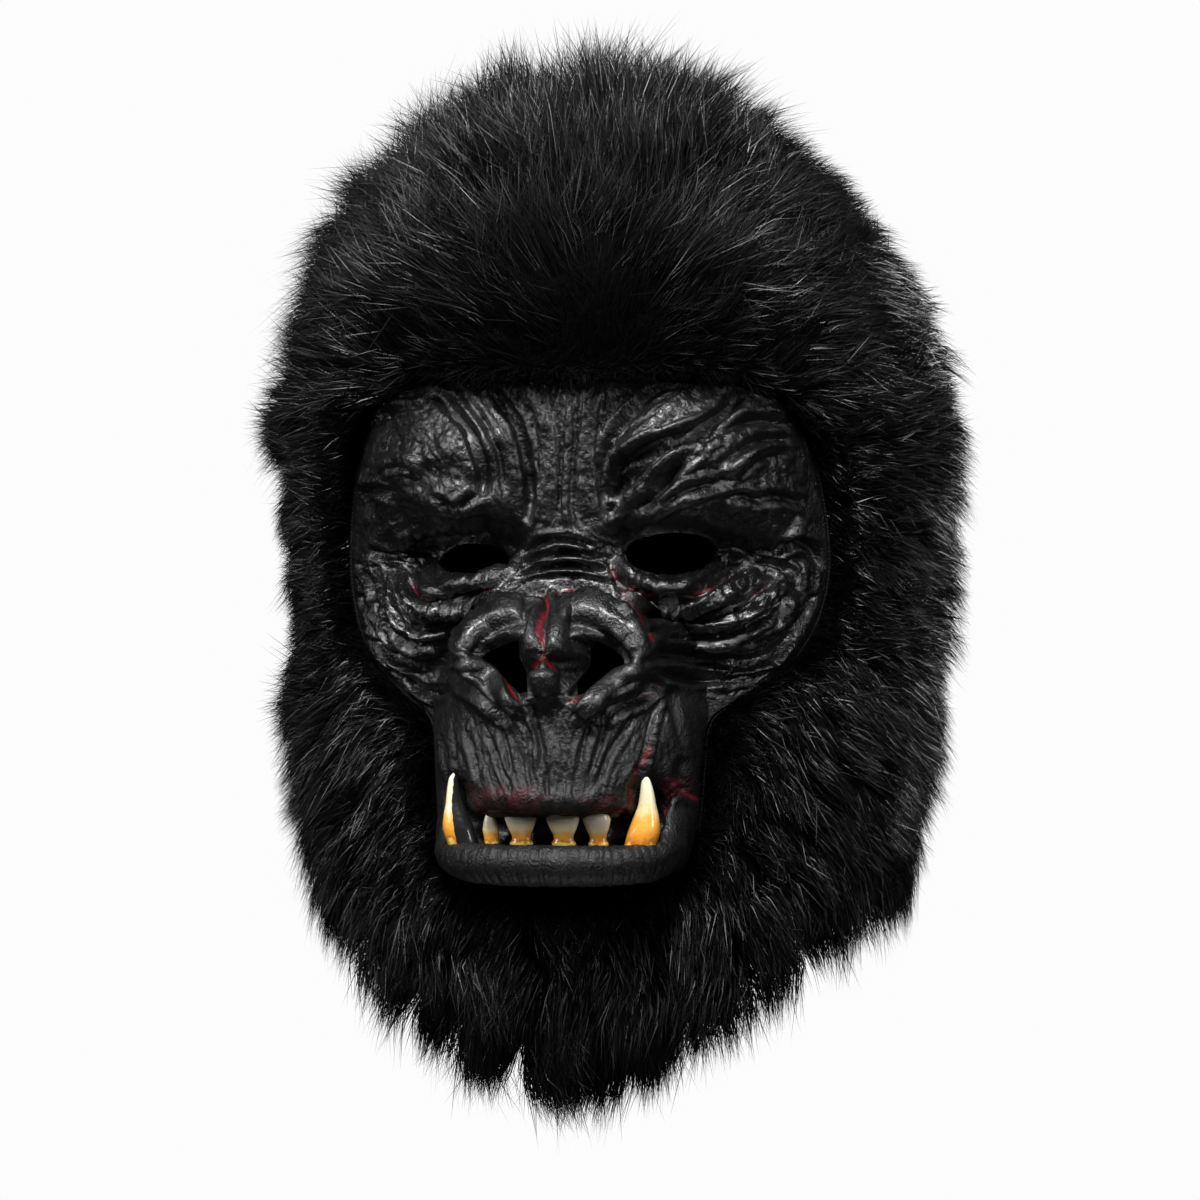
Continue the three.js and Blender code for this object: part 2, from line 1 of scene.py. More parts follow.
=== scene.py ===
import math
import bpy
import numpy as np
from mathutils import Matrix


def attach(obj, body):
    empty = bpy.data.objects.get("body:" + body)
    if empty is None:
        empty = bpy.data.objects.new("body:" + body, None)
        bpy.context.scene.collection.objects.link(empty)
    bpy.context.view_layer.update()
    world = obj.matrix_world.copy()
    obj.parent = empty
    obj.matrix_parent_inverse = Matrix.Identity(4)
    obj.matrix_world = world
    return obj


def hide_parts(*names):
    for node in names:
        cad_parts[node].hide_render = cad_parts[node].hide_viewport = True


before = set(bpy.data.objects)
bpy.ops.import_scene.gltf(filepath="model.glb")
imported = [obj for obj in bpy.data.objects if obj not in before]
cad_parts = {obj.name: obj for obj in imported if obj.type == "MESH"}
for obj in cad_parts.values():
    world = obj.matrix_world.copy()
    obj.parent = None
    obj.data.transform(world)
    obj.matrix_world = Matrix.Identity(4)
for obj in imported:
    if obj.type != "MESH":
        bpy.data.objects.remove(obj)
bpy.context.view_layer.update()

# Camera: level with the middle of the mask and ten degrees round towards the wearer's left, with
# the long lens of a studio portrait.
view_turn = math.radians(10)
view_distance, view_height, view_aside = 1.5, -0.1432, 0.0054
sensor_width, lens_length = 36.0, 141.75
looks_at = np.array([-view_aside * math.cos(view_turn), -view_aside * math.sin(view_turn), view_height])
camera_data = bpy.data.cameras.new("camera")
camera_data.sensor_width, camera_data.lens = sensor_width, lens_length
camera = bpy.data.objects.new("camera", camera_data)
camera.location = looks_at + view_distance * np.array([math.sin(view_turn), -math.cos(view_turn), 0.0])
camera.rotation_euler = (math.radians(90), 0.0, view_turn)
bpy.context.scene.collection.objects.link(camera)
bpy.context.scene.camera = camera

# Studio: a pale floor far below, a surround that is white to the camera and faint as a light, and
# soft lights above the front, at both sides and behind, for glints on the rubber and on the fur.
floor_reach, floor_level, floor_corners = 0.9, -2.6, 48
backdrop_white, surround_light = (0.98, 0.98, 0.98, 1.0), 0.03
# name, place, what it aims at, width, height, watts
soft_lights = [
    ("high_front", (-0.05, -0.9, 1.0), (0.0, 0.0, -0.1), 0.5, 0.25, 35.0),
    ("left_bank", (1.1, -0.9, 0.35), (0.0, -0.02, -0.12), 0.2, 0.6, 7.5),
    ("right_bank", (-1.1, -0.9, 0.45), (0.0, -0.02, -0.12), 0.2, 0.6, 10.0),
    ("behind", (0.5, 1.2, 0.7), (0.0, 0.0, -0.1), 0.6, 0.6, 30.0),
]


def add_mesh(name, points, quads, triangles=(), values=(), uv=None, scale=0.001):
    """A smooth mesh from millimetre points, with its named point values and its own map for baking."""
    quads = np.asarray(quads, np.int32).reshape(-1, 4)
    triangles = np.asarray(triangles, np.int32).reshape(-1, 3)
    corners = np.concatenate([quads.ravel(), triangles.ravel()])
    starts = np.concatenate([np.arange(len(quads)) * 4, quads.size + np.arange(len(triangles)) * 3])
    mesh = bpy.data.meshes.new(name)
    mesh.vertices.add(len(points))
    mesh.vertices.foreach_set("co", (np.asarray(points) * scale).astype(np.float32).ravel())
    mesh.loops.add(len(corners))
    mesh.loops.foreach_set("vertex_index", corners)
    mesh.polygons.add(len(starts))
    mesh.polygons.foreach_set("loop_start", starts.astype(np.int32))
    mesh.polygons.foreach_set("use_smooth", np.ones(len(starts), bool))
    mesh.update(calc_edges=True)
    for value_name, value in dict(values).items():
        layer = mesh.attributes.new(value_name, "FLOAT", "POINT")
        layer.data.foreach_set("value", np.asarray(value, np.float32))
    if uv is not None:
        layer = mesh.uv_layers.new(name="OFBake")
        layer.data.foreach_set("uv", np.asarray(uv, np.float32)[corners].ravel())
    made = bpy.data.objects.new(name, mesh)
    bpy.context.scene.collection.objects.link(made)
    return made


def add_light(name, at, aims_at, width, height, watts):
    """A soft rectangular light, turned to what it aims at."""
    light = bpy.data.lights.new(name, "AREA")
    light.shape = "RECTANGLE"
    light.size, light.size_y, light.energy = width, height, watts
    made = bpy.data.objects.new(name, light)
    made.location = at
    toward = np.array(aims_at, float) - np.array(at, float)
    tilt = math.atan2(math.hypot(toward[0], toward[1]), -toward[2])
    made.rotation_euler = (tilt, 0.0, math.atan2(toward[1], toward[0]) - math.pi / 2)
    bpy.context.scene.collection.objects.link(made)


def new_material(name, colour, roughness):
    """A material and its main shader."""
    made = bpy.data.materials.new(name)
    made.use_nodes = True
    shader = made.node_tree.nodes["Principled BSDF"]
    shader.inputs["Base Color"].default_value = (*colour, 1.0)
    shader.inputs["Roughness"].default_value = roughness
    return made, shader


floor_turns = np.linspace(0, 2 * math.pi, floor_corners, endpoint=False)
floor_rim = [(floor_reach * math.cos(a), floor_reach * math.sin(a), floor_level) for a in floor_turns]
floor_parts = [(floor_corners, k, (k + 1) % floor_corners) for k in range(floor_corners)]
floor = add_mesh("floor", floor_rim + [(0.0, 0.0, floor_level)], (), floor_parts, scale=1.0)
paper, shader = new_material("pale_paper", (0.86, 0.86, 0.86), 0.9)
shader.inputs["Emission Color"].default_value = backdrop_white
shader.inputs["Emission Strength"].default_value = 1.0
floor.data.materials.append(paper)
world = bpy.data.worlds.new("studio")
world.use_nodes = True
tree = world.node_tree
backdrop = tree.nodes["Background"]
backdrop.inputs["Color"].default_value = backdrop_white
rays = tree.nodes.new("ShaderNodeLightPath")
level = tree.nodes.new("ShaderNodeMapRange")
level.inputs["To Min"].default_value = surround_light
tree.links.new(rays.outputs["Is Camera Ray"], level.inputs["Value"])
tree.links.new(level.outputs[0], backdrop.inputs["Strength"])
bpy.context.scene.world = world
bpy.context.scene.view_settings.view_transform = "Standard"
for row in soft_lights:
    add_light(*row)

# Face: one moulding of black latex, 2 to 3 mm thick, glued in behind the hood's cloth. Its dark red
# undercoat shows as thin lines in the creases round the nose, the eyes and the mouth.
# All lengths below are in millimetres. Across is a share of the face's half width, with the wearer's
# left positive, and down is a share of its height, from the top; lines give both in thousandths.
hood_half, hood_front, hood_back = 93.0, 97.0, 99.0
band_drop, chin_hem, nape_hem, hem_sweep, cloth_wall = 90.0, 279.0, 225.0, 5, 2.0
face_top, face_high, face_half = -78.0, 150.0, 74.0
muzzle_reach, relief_high, rim_roundover, rubber_wall = 33.0, 10.0, 7.0, 2.5
# down from the crown, half width, front depth, back depth
head_table = [
    (0.316, 1.0, 0.93, 0.98), (0.42, 0.99, 0.93, 1.0), (0.526, 0.97, 0.94, 0.97),
    (0.63, 0.935, 0.96, 0.89), (0.737, 0.89, 0.995, 0.81), (0.825, 0.85, 1.0, 0.77),
    (0.895, 0.82, 0.93, 0.76), (1.0, 0.77, 0.76, 0.76),
]
# down the face, half width
outline_table = [
    (0.0, 0.62), (0.035, 0.82), (0.09, 0.905), (0.19, 0.965), (0.35, 1.0), (0.47, 0.96), (0.56, 0.86),
    (0.62, 0.71), (0.67, 0.575), (0.75, 0.55), (0.85, 0.535), (0.93, 0.51), (0.975, 0.45), (1.0, 0.27),
]
# down the face, half width, rise, foot
muzzle_table = [
    (0.3, 0.16, 0.0, 1.6), (0.38, 0.24, 0.05, 1.6), (0.44, 0.38, 0.34, 1.3), (0.5, 0.48, 0.74, 1.1),
    (0.56, 0.53, 0.92, 1.0), (0.62, 0.55, 0.92, 0.8), (0.67, 0.56, 0.86, 0.55), (0.75, 0.55, 0.93, 0.5),
    (0.83, 0.54, 0.88, 0.5), (0.9, 0.53, 0.72, 0.5), (0.96, 0.5, 0.6, 0.5), (1.0, 0.4, 0.2, 0.5),
]
muzzle_squareness = 2.4
# across, down, half width, half height, rise
swells = [
    (0.52, 0.15, 0.46, 0.17, 1.25),  # brow
    (0.45, 0.25, 0.36, 0.065, 0.5),  # edge of the brow
    (0.82, 0.22, 0.24, 0.17, 0.5),  # temple
    (0.4, 0.335, 0.36, 0.08, -1.4),  # eye socket
    (0.7, 0.35, 0.24, 0.07, -0.6),  # outer socket
    (0.74, 0.475, 0.32, 0.13, 0.95),  # cheek
    (0.44, 0.43, 0.3, 0.055, 0.5),  # bag under the eye
    (0.37, 0.55, 0.15, 0.09, 0.35),  # wing of the nose
    (0.17, 0.565, 0.19, 0.075, -1.2),  # nostril
    (0.37, 0.83, 0.1, 0.07, -0.5),  # notch for the fang
]
# width, rise, sides, line
main_folds = [
    (0.028, -0.26, (1, -1), [300, 10, 200, 70, 160, 140, 160, 270]),
    (0.028, -0.26, (1,), [-550, 20, -410, 84, -340, 150, -330, 230]),
    (0.03, -0.32, (1,), [680, 20, 550, 100, 340, 169, 200, 265]),
    (0.026, 0.25, (1, -1), [210, 365, 300, 395, 420, 409, 580, 366]),
    (0.028, -0.22, (1, -1), [220, 410, 360, 465, 580, 472, 780, 400]),
    (0.03, -0.28, (1, -1), [450, 530, 600, 565, 780, 540, 930, 440]),
    (0.028, -0.3, (1,), [-420, 490, -200, 420, 0, 400, 200, 420, 420, 490]),
    (0.036, 0.6, (1, -1), [60, 450, 200, 455, 340, 505, 360, 565, 250, 615, 80, 670]),
    (0.03, 0.55, (1,), [0, 450, 0, 530, 0, 610]),
    (0.028, 0.25, (1,), [-320, 775, -200, 815, 0, 820, 200, 815, 320, 775]),
    (0.034, -0.8, (1,), [-430, 810, -330, 870, -150, 882, 150, 882, 330, 870, 430, 810]),
    (0.03, 0.55, (1,), [-500, 850, -430, 930, -220, 955, 220, 955, 430, 930, 500, 850]),
]


def along(rows, at, column=1):
    """Smooth value of a table's column, at places given in its first column."""
    rows = np.array(rows, float)
    downs, values = rows[:, 0], rows[:, column]
    at = np.clip(at, downs[0], downs[-1])
    slopes = np.empty_like(values)
    slopes[1:-1] = (values[2:] - values[:-2]) / (downs[2:] - downs[:-2])
    slopes[0] = (values[1] - values[0]) / (downs[1] - downs[0])
    slopes[-1] = (values[-1] - values[-2]) / (downs[-1] - downs[-2])
    i = np.clip(np.searchsorted(downs, at) - 1, 0, len(downs) - 2)
    span = downs[i + 1] - downs[i]
    s = (at - downs[i]) / span
    low = (2 * s**3 - 3 * s**2 + 1) * values[i] + (s**3 - 2 * s**2 + s) * span * slopes[i]
    return low + (3 * s**2 - 2 * s**3) * values[i + 1] + (s**3 - s**2) * span * slopes[i + 1]


def smooth(share):
    """A share that starts and ends gently, held between nought and one."""
    share = np.clip(share, 0, 1)
    return share * share * (3 - 2 * share)


def head_section(z):
    """Half width and depths of the hood's cloth in millimetres, at each height."""
    climb = np.clip((z + band_drop) / (band_drop + cloth_wall), 0, 1)
    dome = np.sqrt(1 - climb**2)
    down = -z / chin_hem
    return (
        hood_half * along(head_table, down, 1) * dome,
        hood_front * along(head_table, down, 2) * dome,
        hood_back * along(head_table, down, 3) * dome,
    )


def outline_half(down):
    """Half width of the face at each share of its height."""
    return face_half * along(outline_table, down)


def spline(points, count):
    """Evenly stepped points on a smooth line through the given ones."""
    points = np.array(points, float)
    last = len(points) - 1
    at = np.linspace(0, last, count + 1)
    i = np.minimum(at.astype(int), last - 1)
    s = (at - i)[:, None]
    before, a, b, after = (points[np.clip(i + k, 0, last)] for k in (-1, 0, 1, 2))
    start = (2 * s**3 - 3 * s**2 + 1) * a + (s**3 - 2 * s**2 + s) * (b - before) / 2
    return start + (3 * s**2 - 2 * s**3) * b + (s**3 - s**2) * (after - a) / 2


def face_line(line, steps, side_sign=1):
    """A smooth line on the face, in millimetres across and up, from thousandths across and down."""
    shares = spline(np.array(line, float).reshape(-1, 2) / 1000 * [side_sign, 1], steps)
    return np.stack([shares[:, 0] * face_half, face_top - shares[:, 1] * face_high], 1)


def near_path(line, x, z):
    """Distance from each point to a line of short runs, and how far along it the nearest place is."""
    best = np.full(x.shape, 1e9)
    place = np.zeros(x.shape)
    for i, (a, b) in enumerate(zip(line[:-1], line[1:])):
        run = b - a
        s = np.clip(((x - a[0]) * run[0] + (z - a[1]) * run[1]) / (run @ run), 0, 1)
        away = np.hypot(x - a[0] - s * run[0], z - a[1] - s * run[1])
        nearer = away < best
        best[nearer] = away[nearer]
        place[nearer] = (i + s[nearer]) / (len(line) - 1)
    return best, place


def face_depth(x, z):
    """How far the moulding's main form stands in front of the middle of the head."""
    down = (face_top - z) / face_high
    side, front, _ = head_section(z)
    depth = front * np.sqrt(np.maximum(1 - (x / side) ** 2, 0.02))
    to_end = np.minimum(down, 1 - down) * face_high
    inside = np.minimum(outline_half(down) - np.abs(x), to_end)
    fade = 1 - (1 - np.clip(inside / rim_roundover, 0, 1)) ** 2
    end_fade = np.sqrt(1 - (1 - np.clip((1 - down) * face_high / rim_roundover, 0, 1)) ** 2)
    relief = np.zeros(x.shape)
    for a, d, wide, tall, rise in swells:
        away = ((np.abs(x) - a * face_half) / (wide * face_half)) ** 2
        away = away + ((z - face_top + d * face_high) / (tall * face_high)) ** 2
        relief += rise * np.maximum(1 - away, 0) ** 2
    for width, rise, sides, line in main_folds:
        for side_sign in sides:
            away, place = near_path(face_line(line, 10, side_sign), x, z)
            taper = np.sqrt(np.clip(np.sin(np.pi * place) + 0.12, 0, 1))
            relief += rise * taper * np.exp(-((away / (width * face_high)) ** 2))
    half = face_half * along(muzzle_table, down)
    share = np.clip(np.abs(x) / half, 0, 1) ** muzzle_squareness
    muzzle = along(muzzle_table, down, 2) * (1 - share) ** along(muzzle_table, down, 3)
    muzzle = np.where(down < muzzle_table[0][0], 0, muzzle)
    lifted = muzzle_reach * muzzle * end_fade + relief_high * relief * fade
    return np.where(inside <= 0, depth, depth + lifted)


# Finer rolls and creases that lie on the main form. A roll has a positive rise, and a crease a
# negative one. Red is the share of undercoat that shows in it, and beads cut it across.
# half width, rise, red, beads, line
fine_folds = [
    # the brow, from the wearer's right to the left
    (1.5, -1.7, 0, 0, [-560, 17, -410, 84, -340, 154, -330, 230]),
    (1.4, -1.5, 0, 0, [-310, 13, -220, 72, -170, 134, -150, 231, -170, 279]),
    (1.0, -0.8, 0, 0, [-440, 20, -330, 80, -260, 150, -250, 220]),
    (3.2, 0.9, 0, 0, [-120, 20, -80, 100, -70, 200, -100, 280]),
    (1.6, 0.9, 0.3, 0, [20, 30, 10, 135, 0, 231, 10, 300]),
    (3.0, 0.8, 0, 0, [110, 20, 90, 100, 80, 200, 100, 270]),
    (1.3, -1.5, 0, 0, [454, 0, 355, 20, 225, 83, 174, 130, 155, 200, 162, 263]),
    (0.8, -0.7, 0, 0, [400, 27, 300, 65, 210, 127, 185, 178, 180, 222]),
    (3.4, 1.0, 0, 0, [500, 30, 380, 70, 280, 120, 240, 170]),
    (2.0, -2.3, 0, 0, [683, 16, 632, 56, 513, 104, 370, 134, 240, 175, 177, 237]),
    (1.8, 1.0, 0, 0, [640, 30, 580, 62, 480, 90, 350, 115, 250, 147]),
    (2.6, 1.1, 0, 0, [560, 95, 440, 132, 320, 166, 230, 200]),
    (1.5, -1.7, 0, 0, [600, 90, 492, 124, 356, 163, 240, 208, 177, 270]),
    (2.6, 1.0, 0, 0, [560, 125, 450, 160, 350, 200, 270, 245]),
    (1.5, -1.6, 0, 0, [600, 105, 499, 152, 442, 185, 384, 222, 320, 255]),
    (1.3, -1.4, 0, 0, [560, 125, 615, 104, 684, 85, 767, 73, 862, 87]),
    (2.4, 1.1, 0, 0, [663, 188, 712, 162, 767, 140, 850, 125]),
    (1.1, -1.0, 0, 0, [620, 170, 700, 135, 780, 113, 870, 115]),
    (2.2, 1.3, 0, 0, [240, 297, 324, 267, 403, 257, 503, 237, 587, 222, 684, 210]),
    (2.0, 1.0, 0, 0, [370, 242, 460, 215, 531, 196, 620, 190]),
    (1.3, -1.1, 0, 0, [640, 240, 700, 229, 766, 236, 834, 228, 920, 240]),
    (1.2, -1.3, 0, 0, [800, 345, 837, 330, 897, 318, 950, 331, 976, 376]),
    (2.0, 0.9, 0, 0, [857, 324, 897, 294, 917, 268]),
    # the eyes and the bags under them
    (2.2, 1.5, 0, 0, [190, 350, 243, 383, 316, 402, 403, 412, 495, 405, 560, 378, 600, 350]),
    (1.1, -1.5, 0.8, 0, [160, 350, 223, 397, 295, 419, 396, 432, 495, 428, 575, 408, 676, 372]),
    (2.3, 1.3, 0, 11, [232, 412, 319, 438, 396, 452, 495, 450, 600, 432, 670, 410, 738, 380]),
    (1.2, -1.6, 0.5, 0, [194, 391, 258, 432, 350, 462, 531, 474, 635, 458, 718, 432, 810, 395]),
    (2.4, 1.0, 0, 0, [350, 478, 500, 492, 660, 482, 780, 450, 840, 410]),
    (1.3, -1.3, 0, 0, [332, 477, 428, 502, 551, 508, 680, 500, 806, 464, 881, 402]),
    (1.7, -1.8, 0, 0, [388, 535, 459, 541, 577, 556, 768, 550, 880, 499, 954, 423]),
    (1.2, -1.0, 0, 0, [427, 572, 505, 592, 642, 592]),
    (1.1, -0.9, 0, 0, [679, 368, 781, 361, 869, 381, 893, 437]),
    (1.7, 0.9, 0, 0, [583, 347, 639, 343, 694, 358, 762, 365]),
    (2.2, 1.4, 0, 0, [-600, 360, -530, 396, -410, 406, -310, 388, -220, 360]),
    (1.1, -1.5, 0.7, 0, [-690, 390, -620, 430, -520, 437, -380, 425, -240, 397]),
    (2.2, 1.2, 0, 10, [-700, 420, -600, 450, -480, 455, -340, 440, -240, 420]),
    (1.3, -1.6, 0.3, 0, [-760, 390, -720, 451, -640, 487, -520, 485, -380, 462]),
    (1.2, -1.3, 0, 0, [-860, 390, -838, 451, -748, 506, -645, 527, -500, 520]),
    (1.6, -1.7, 0, 0, [-940, 420, -880, 480, -810, 530, -690, 560, -550, 560]),
    (1.3, -1.1, 0, 0, [-700, 600, -600, 620, -447, 610]),
    (1.2, -1.2, 0, 0, [-975, 360, -900, 385, -860, 440]),
    (2.2, 1.2, 0, 9, [-741, 315, -656, 300, -510, 292, -371, 290, -240, 300]),
    (1.2, -1.1, 0, 0, [-900, 330, -800, 345, -700, 335, -620, 342]),
    (2.4, 0.9, 0, 0, [-830, 165, -730, 151, -629, 159, -620, 190]),
    (1.2, -1.0, 0, 0, [-940, 218, -855, 210, -760, 222]),
    (1.2, -1.1, 0, 0, [-517, 225, -469, 250, -407, 245, -362, 223]),
    (1.0, -0.8, 0, 0, [-820, 62, -730, 46, -600, 44]),
    # the bridge and the nose
    (0.9, -1.2, 0, 0, [-190, 340, -90, 317, 10, 313, 110, 327]),
    (0.9, -1.3, 0, 0, [-190, 368, -90, 347, 30, 341, 150, 354]),
    (0.9, -1.3, 0, 0, [-210, 395, -100, 371, 30, 365, 170, 382]),
    (0.8, -1.0, 0.15, 0, [-280, 425, -120, 395, 40, 388, 210, 402]),
    (1.0, -1.5, 0.75, 0, [-430, 485, -373, 459, -305, 442, -184, 426, -106, 418, -38, 415]),
    (1.0, -1.5, 0.85, 0, [-38, 415, 50, 408, 135, 420, 218, 438, 279, 462, 341, 492, 387, 529]),
    (4.3, 2.3, 0, 0, [-125, 450, -224, 456, -307, 481, -363, 517, -386, 549]),
    (3.0, 1.7, 0, 0, [-90, 450, -57, 480, -55, 508, -69, 539, -80, 567]),
    (2.8, 1.5, 0, 0, [-382, 557, -281, 564, -219, 591, -165, 619, -107, 651]),
    (4.3, 2.3, 0, 0, [20, 464, 77, 450, 157, 454, 240, 472, 327, 508, 388, 548]),
    (3.0, 1.7, 0, 0, [30, 462, 36, 492, 50, 530, 100, 540, 95, 575]),
    (2.8, 1.5, 0, 0, [368, 562, 302, 581, 245, 603, 177, 634, 129, 658]),
    (0.8, -0.6, 1.0, 0, [-307, 548, -240, 572, -173, 603, -130, 623, -83, 632]),
    (0.8, -0.6, 1.0, 0, [286, 562, 231, 587, 179, 607, 125, 625, 77, 634]),
    (0.9, -0.9, 0.95, 0, [-122, 424, -65, 424, -39, 440, -35, 468, -23, 504, -11, 532]),
    (1.2, -0.7, 1.6, 0, [-11, 532, -24, 551, -54, 571]),
    (1.2, -0.7, 1.6, 0, [-11, 532, 17, 551, 48, 569]),
    (3.8, 1.9, 0, 0, [-2, 570, 4, 594, 6, 622]),
    (1.5, -1.5, 0, 0, [409, 585, 367, 620, 275, 643, 214, 671]),
    (1.5, -1.5, 0, 0, [-430, 570, -375, 597, -286, 616, -203, 643, -143, 675]),
    # the muzzle
    (1.04, -0.66, 0, 0, [-50, 642, -29, 690, -11, 729, -16, 770]),
    (1.6, 0.45, 0, 0, [320, 600, 250, 625, 180, 650, 110, 675]),
    (1.52, 0.45, 0, 0, [-260, 620, -190, 645, -110, 660]),
    (0.88, -0.61, 0, 0, [-340, 690, -304, 743, -275, 790]),
    (0.8, -0.61, 0, 0, [-240, 700, -197, 742, -168, 769, -120, 810]),
    (0.8, -0.55, 0, 0, [-187, 680, -154, 730, -135, 775]),
    (0.72, -0.5, 0, 0, [-110, 662, -60, 700, -50, 760, -30, 800]),
    (0.64, -0.44, 0, 0, [9, 750, 14, 796, 21, 816]),
    (0.8, -0.55, 0, 0, [174, 670, 149, 725, 136, 775]),
    (0.8, -0.55, 0, 0, [240, 660, 210, 721, 190, 770]),
    (0.88, -0.61, 0, 0, [330, 660, 268, 714, 235, 749, 210, 795]),
    (0.8, -0.5, 0, 0, [-478, 700, -462, 754, -440, 790]),
    (0.8, -0.5, 0, 0, [-410, 690, -400, 740, -390, 790]),
    (1.36, 1.05, 0.1, 6, [430, 630, 405, 683, 391, 723, 376, 765]),
    (0.96, -0.55, 0, 0, [404, 595, 452, 628, 474, 672, 496, 721]),
    (1.44, -0.99, 0, 0, [500, 745, 491, 780, 510, 810]),
    (0.64, -0.17, 0.45, 0, [228, 654, 303, 638, 373, 627, 412, 611, 420, 592]),
    # the mouth's red edges and the lower lip
    (0.8, -0.6, 0.9, 0, [-353, 788, -318, 819, -264, 843, -154, 845, -36, 848, -2, 860]),
    (0.8, -0.6, 0.9, 0, [-2, 860, 62, 850, 155, 852, 255, 844, 288, 845, 274, 869, 246, 900]),
    (0.9, -0.7, 0.8, 0, [288, 845, 315, 825, 345, 781, 369, 755, 390, 710]),
    (0.9, -0.7, 0.9, 0, [420, 859, 446, 828, 472, 812, 502, 811, 547, 837]),
    (0.8, -0.4, 0.9, 0, [-264, 846, -262, 879, -249, 903, -213, 907]),
    (0.8, -0.4, 0.7, 0, [-90, 904, -55, 901, 4, 895, 50, 900]),
    (3.6, -2.2, 0, 0, [-450, 870, -300, 888, 0, 888, 300, 888, 430, 860]),
    (6.0, 1.7, 0, 0, [-520, 870, -470, 935, -380, 950, -200, 955, 0, 957, 200, 955, 380, 948, 470, 910,
     525, 850]),
    (5.0, 0.32, 0, 31, [-500, 900, -380, 950, -200, 956, 0, 958, 200, 956, 380, 948, 500, 880]),
]
# Lines that only steer the small wrinkles: down the muzzle in a fan, and down the lower lip
flow_lines = [
    [-460, 660, -450, 800], [-330, 660, -270, 800], [-200, 660, -120, 800], [-80, 660, -30, 800],
    [50, 660, 40, 800], [170, 660, 120, 800], [300, 660, 200, 800], [460, 660, 490, 800],
    [-400, 920, -380, 985], [-200, 920, -200, 990], [0, 920, 0, 990], [200, 920, 200, 990],
    [400, 920, 380, 985], [850, 150, 920, 300], [-850, 150, -920, 300],
]
# Where the small wrinkles are strong: across, down, half width, half height, coarse, fine, lumps
wrinkle_zones = [
    (-0.62, 0.17, 0.5, 0.24, 0.3, 0.5, 0.95),
    (0.62, 0.14, 0.5, 0.22, 0.35, 0.5, 0.35),
    (0.0, 0.14, 0.45, 0.26, 0.25, 0.45, 0.15),
    (0.0, 0.37, 0.35, 0.09, 0.7, 0.3, 0.0),
    (-0.62, 0.44, 0.5, 0.15, 0.9, 0.45, 0.2),
    (0.6, 0.43, 0.5, 0.13, 0.95, 0.45, 0.1),
    (0.72, 0.55, 0.35, 0.1, 0.6, 0.45, 0.2),
    (-0.72, 0.57, 0.35, 0.1, 0.55, 0.45, 0.3),
    (0.0, 0.54, 0.5, 0.13, 0.05, 0.2, 0.0),
    (0.0, 0.73, 0.62, 0.14, 0.3, 0.3, 0.4),
    (0.0, 0.955, 0.6, 0.06, 0.25, 0.3, 0.0),
]

# the field of wrinkles: its step, its lowest corner across and up, its number of points each way, and
# the coarse step and number of points of the field that steers it
grain_step, grain_low, grain_size = 0.5, np.array([-77.0, -231.0]), (312, 312)
steer_step, steer_size = 2.0, 80


def sample(field, x, z, step=grain_step):
    """A square field of values read between its own points."""
    u = np.clip((x - grain_low[0]) / step, 0, field.shape[1] - 1.001)
    v = np.clip((z - grain_low[1]) / step, 0, field.shape[0] - 1.001)
    i, j = u.astype(int), v.astype(int)
    s, t = u - i, v - j
    low = field[j, i] * (1 - s) + field[j, i + 1] * s
    return low * (1 - t) + (field[j + 1, i] * (1 - s) + field[j + 1, i + 1] * s) * t


def blurred(field, reach):
    """A field softened over a reach given in steps."""
    fy = np.fft.fftfreq(field.shape[0])[:, None]
    fx = np.fft.fftfreq(field.shape[1])[None, :]
    keep = np.exp(-2 * (np.pi * reach) ** 2 * (fx**2 + fy**2))
    soft = np.fft.ifft2(np.fft.fft2(field) * keep).real
    return (soft - soft.mean()) / soft.std()


def steering():
    """The direction that the wrinkles run in, as the doubled angle's cosine and sine on a coarse grid."""
    places, runs, pulls = [], [], []
    for lines, pull in (([row[-1] for row in fine_folds], 1.0), (flow_lines, 3.0)):
        for line in lines:
            path = face_line(line, 12)
            places.append((path[1:] + path[:-1]) / 2)
            runs.append(np.diff(path, axis=0))
            pulls.append(np.full(len(path) - 1, pull))
    places, runs, pulls = np.concatenate(places), np.concatenate(runs), np.concatenate(pulls)
    doubled = 2 * np.arctan2(runs[:, 1], runs[:, 0])
    axis = np.arange(steer_size) * steer_step
    gx, gz = np.meshgrid(grain_low[0] + axis, grain_low[1] + axis)
    away = (gx[..., None] - places[:, 0]) ** 2 + (gz[..., None] - places[:, 1]) ** 2
    weight = pulls * np.hypot(runs[:, 0], runs[:, 1]) / (away + 5.0) ** 1.6
    return (weight * np.cos(doubled)).sum(-1), (weight * np.sin(doubled)).sum(-1)


def streaked(seed, reach, length, steer):
    """Noise drawn out along the steering lines, with a spread of one."""
    noise = blurred(np.random.default_rng(seed).standard_normal(grain_size), reach)
    axis = np.arange(grain_size[0]) * grain_step
    x0, z0 = np.meshgrid(grain_low[0] + axis, grain_low[1] + axis)
    total = noise.copy()
    for sign in (1, -1):
        x, z = x0.copy(), z0.copy()
        last_x = last_z = None
        for _ in range(int(length / grain_step)):
            angle = np.arctan2(sample(steer[1], x, z, steer_step), sample(steer[0], x, z, steer_step)) / 2
            run_x, run_z = sign * np.cos(angle), sign * np.sin(angle)
            if last_x is not None:
                turned = np.sign(run_x * last_x + run_z * last_z + 1e-9)
                run_x, run_z = run_x * turned, run_z * turned
            last_x, last_z = run_x, run_z
            x, z = x + grain_step * run_x, z + grain_step * run_z
            total += sample(noise, x, z)
    return (total - total.mean()) / total.std()


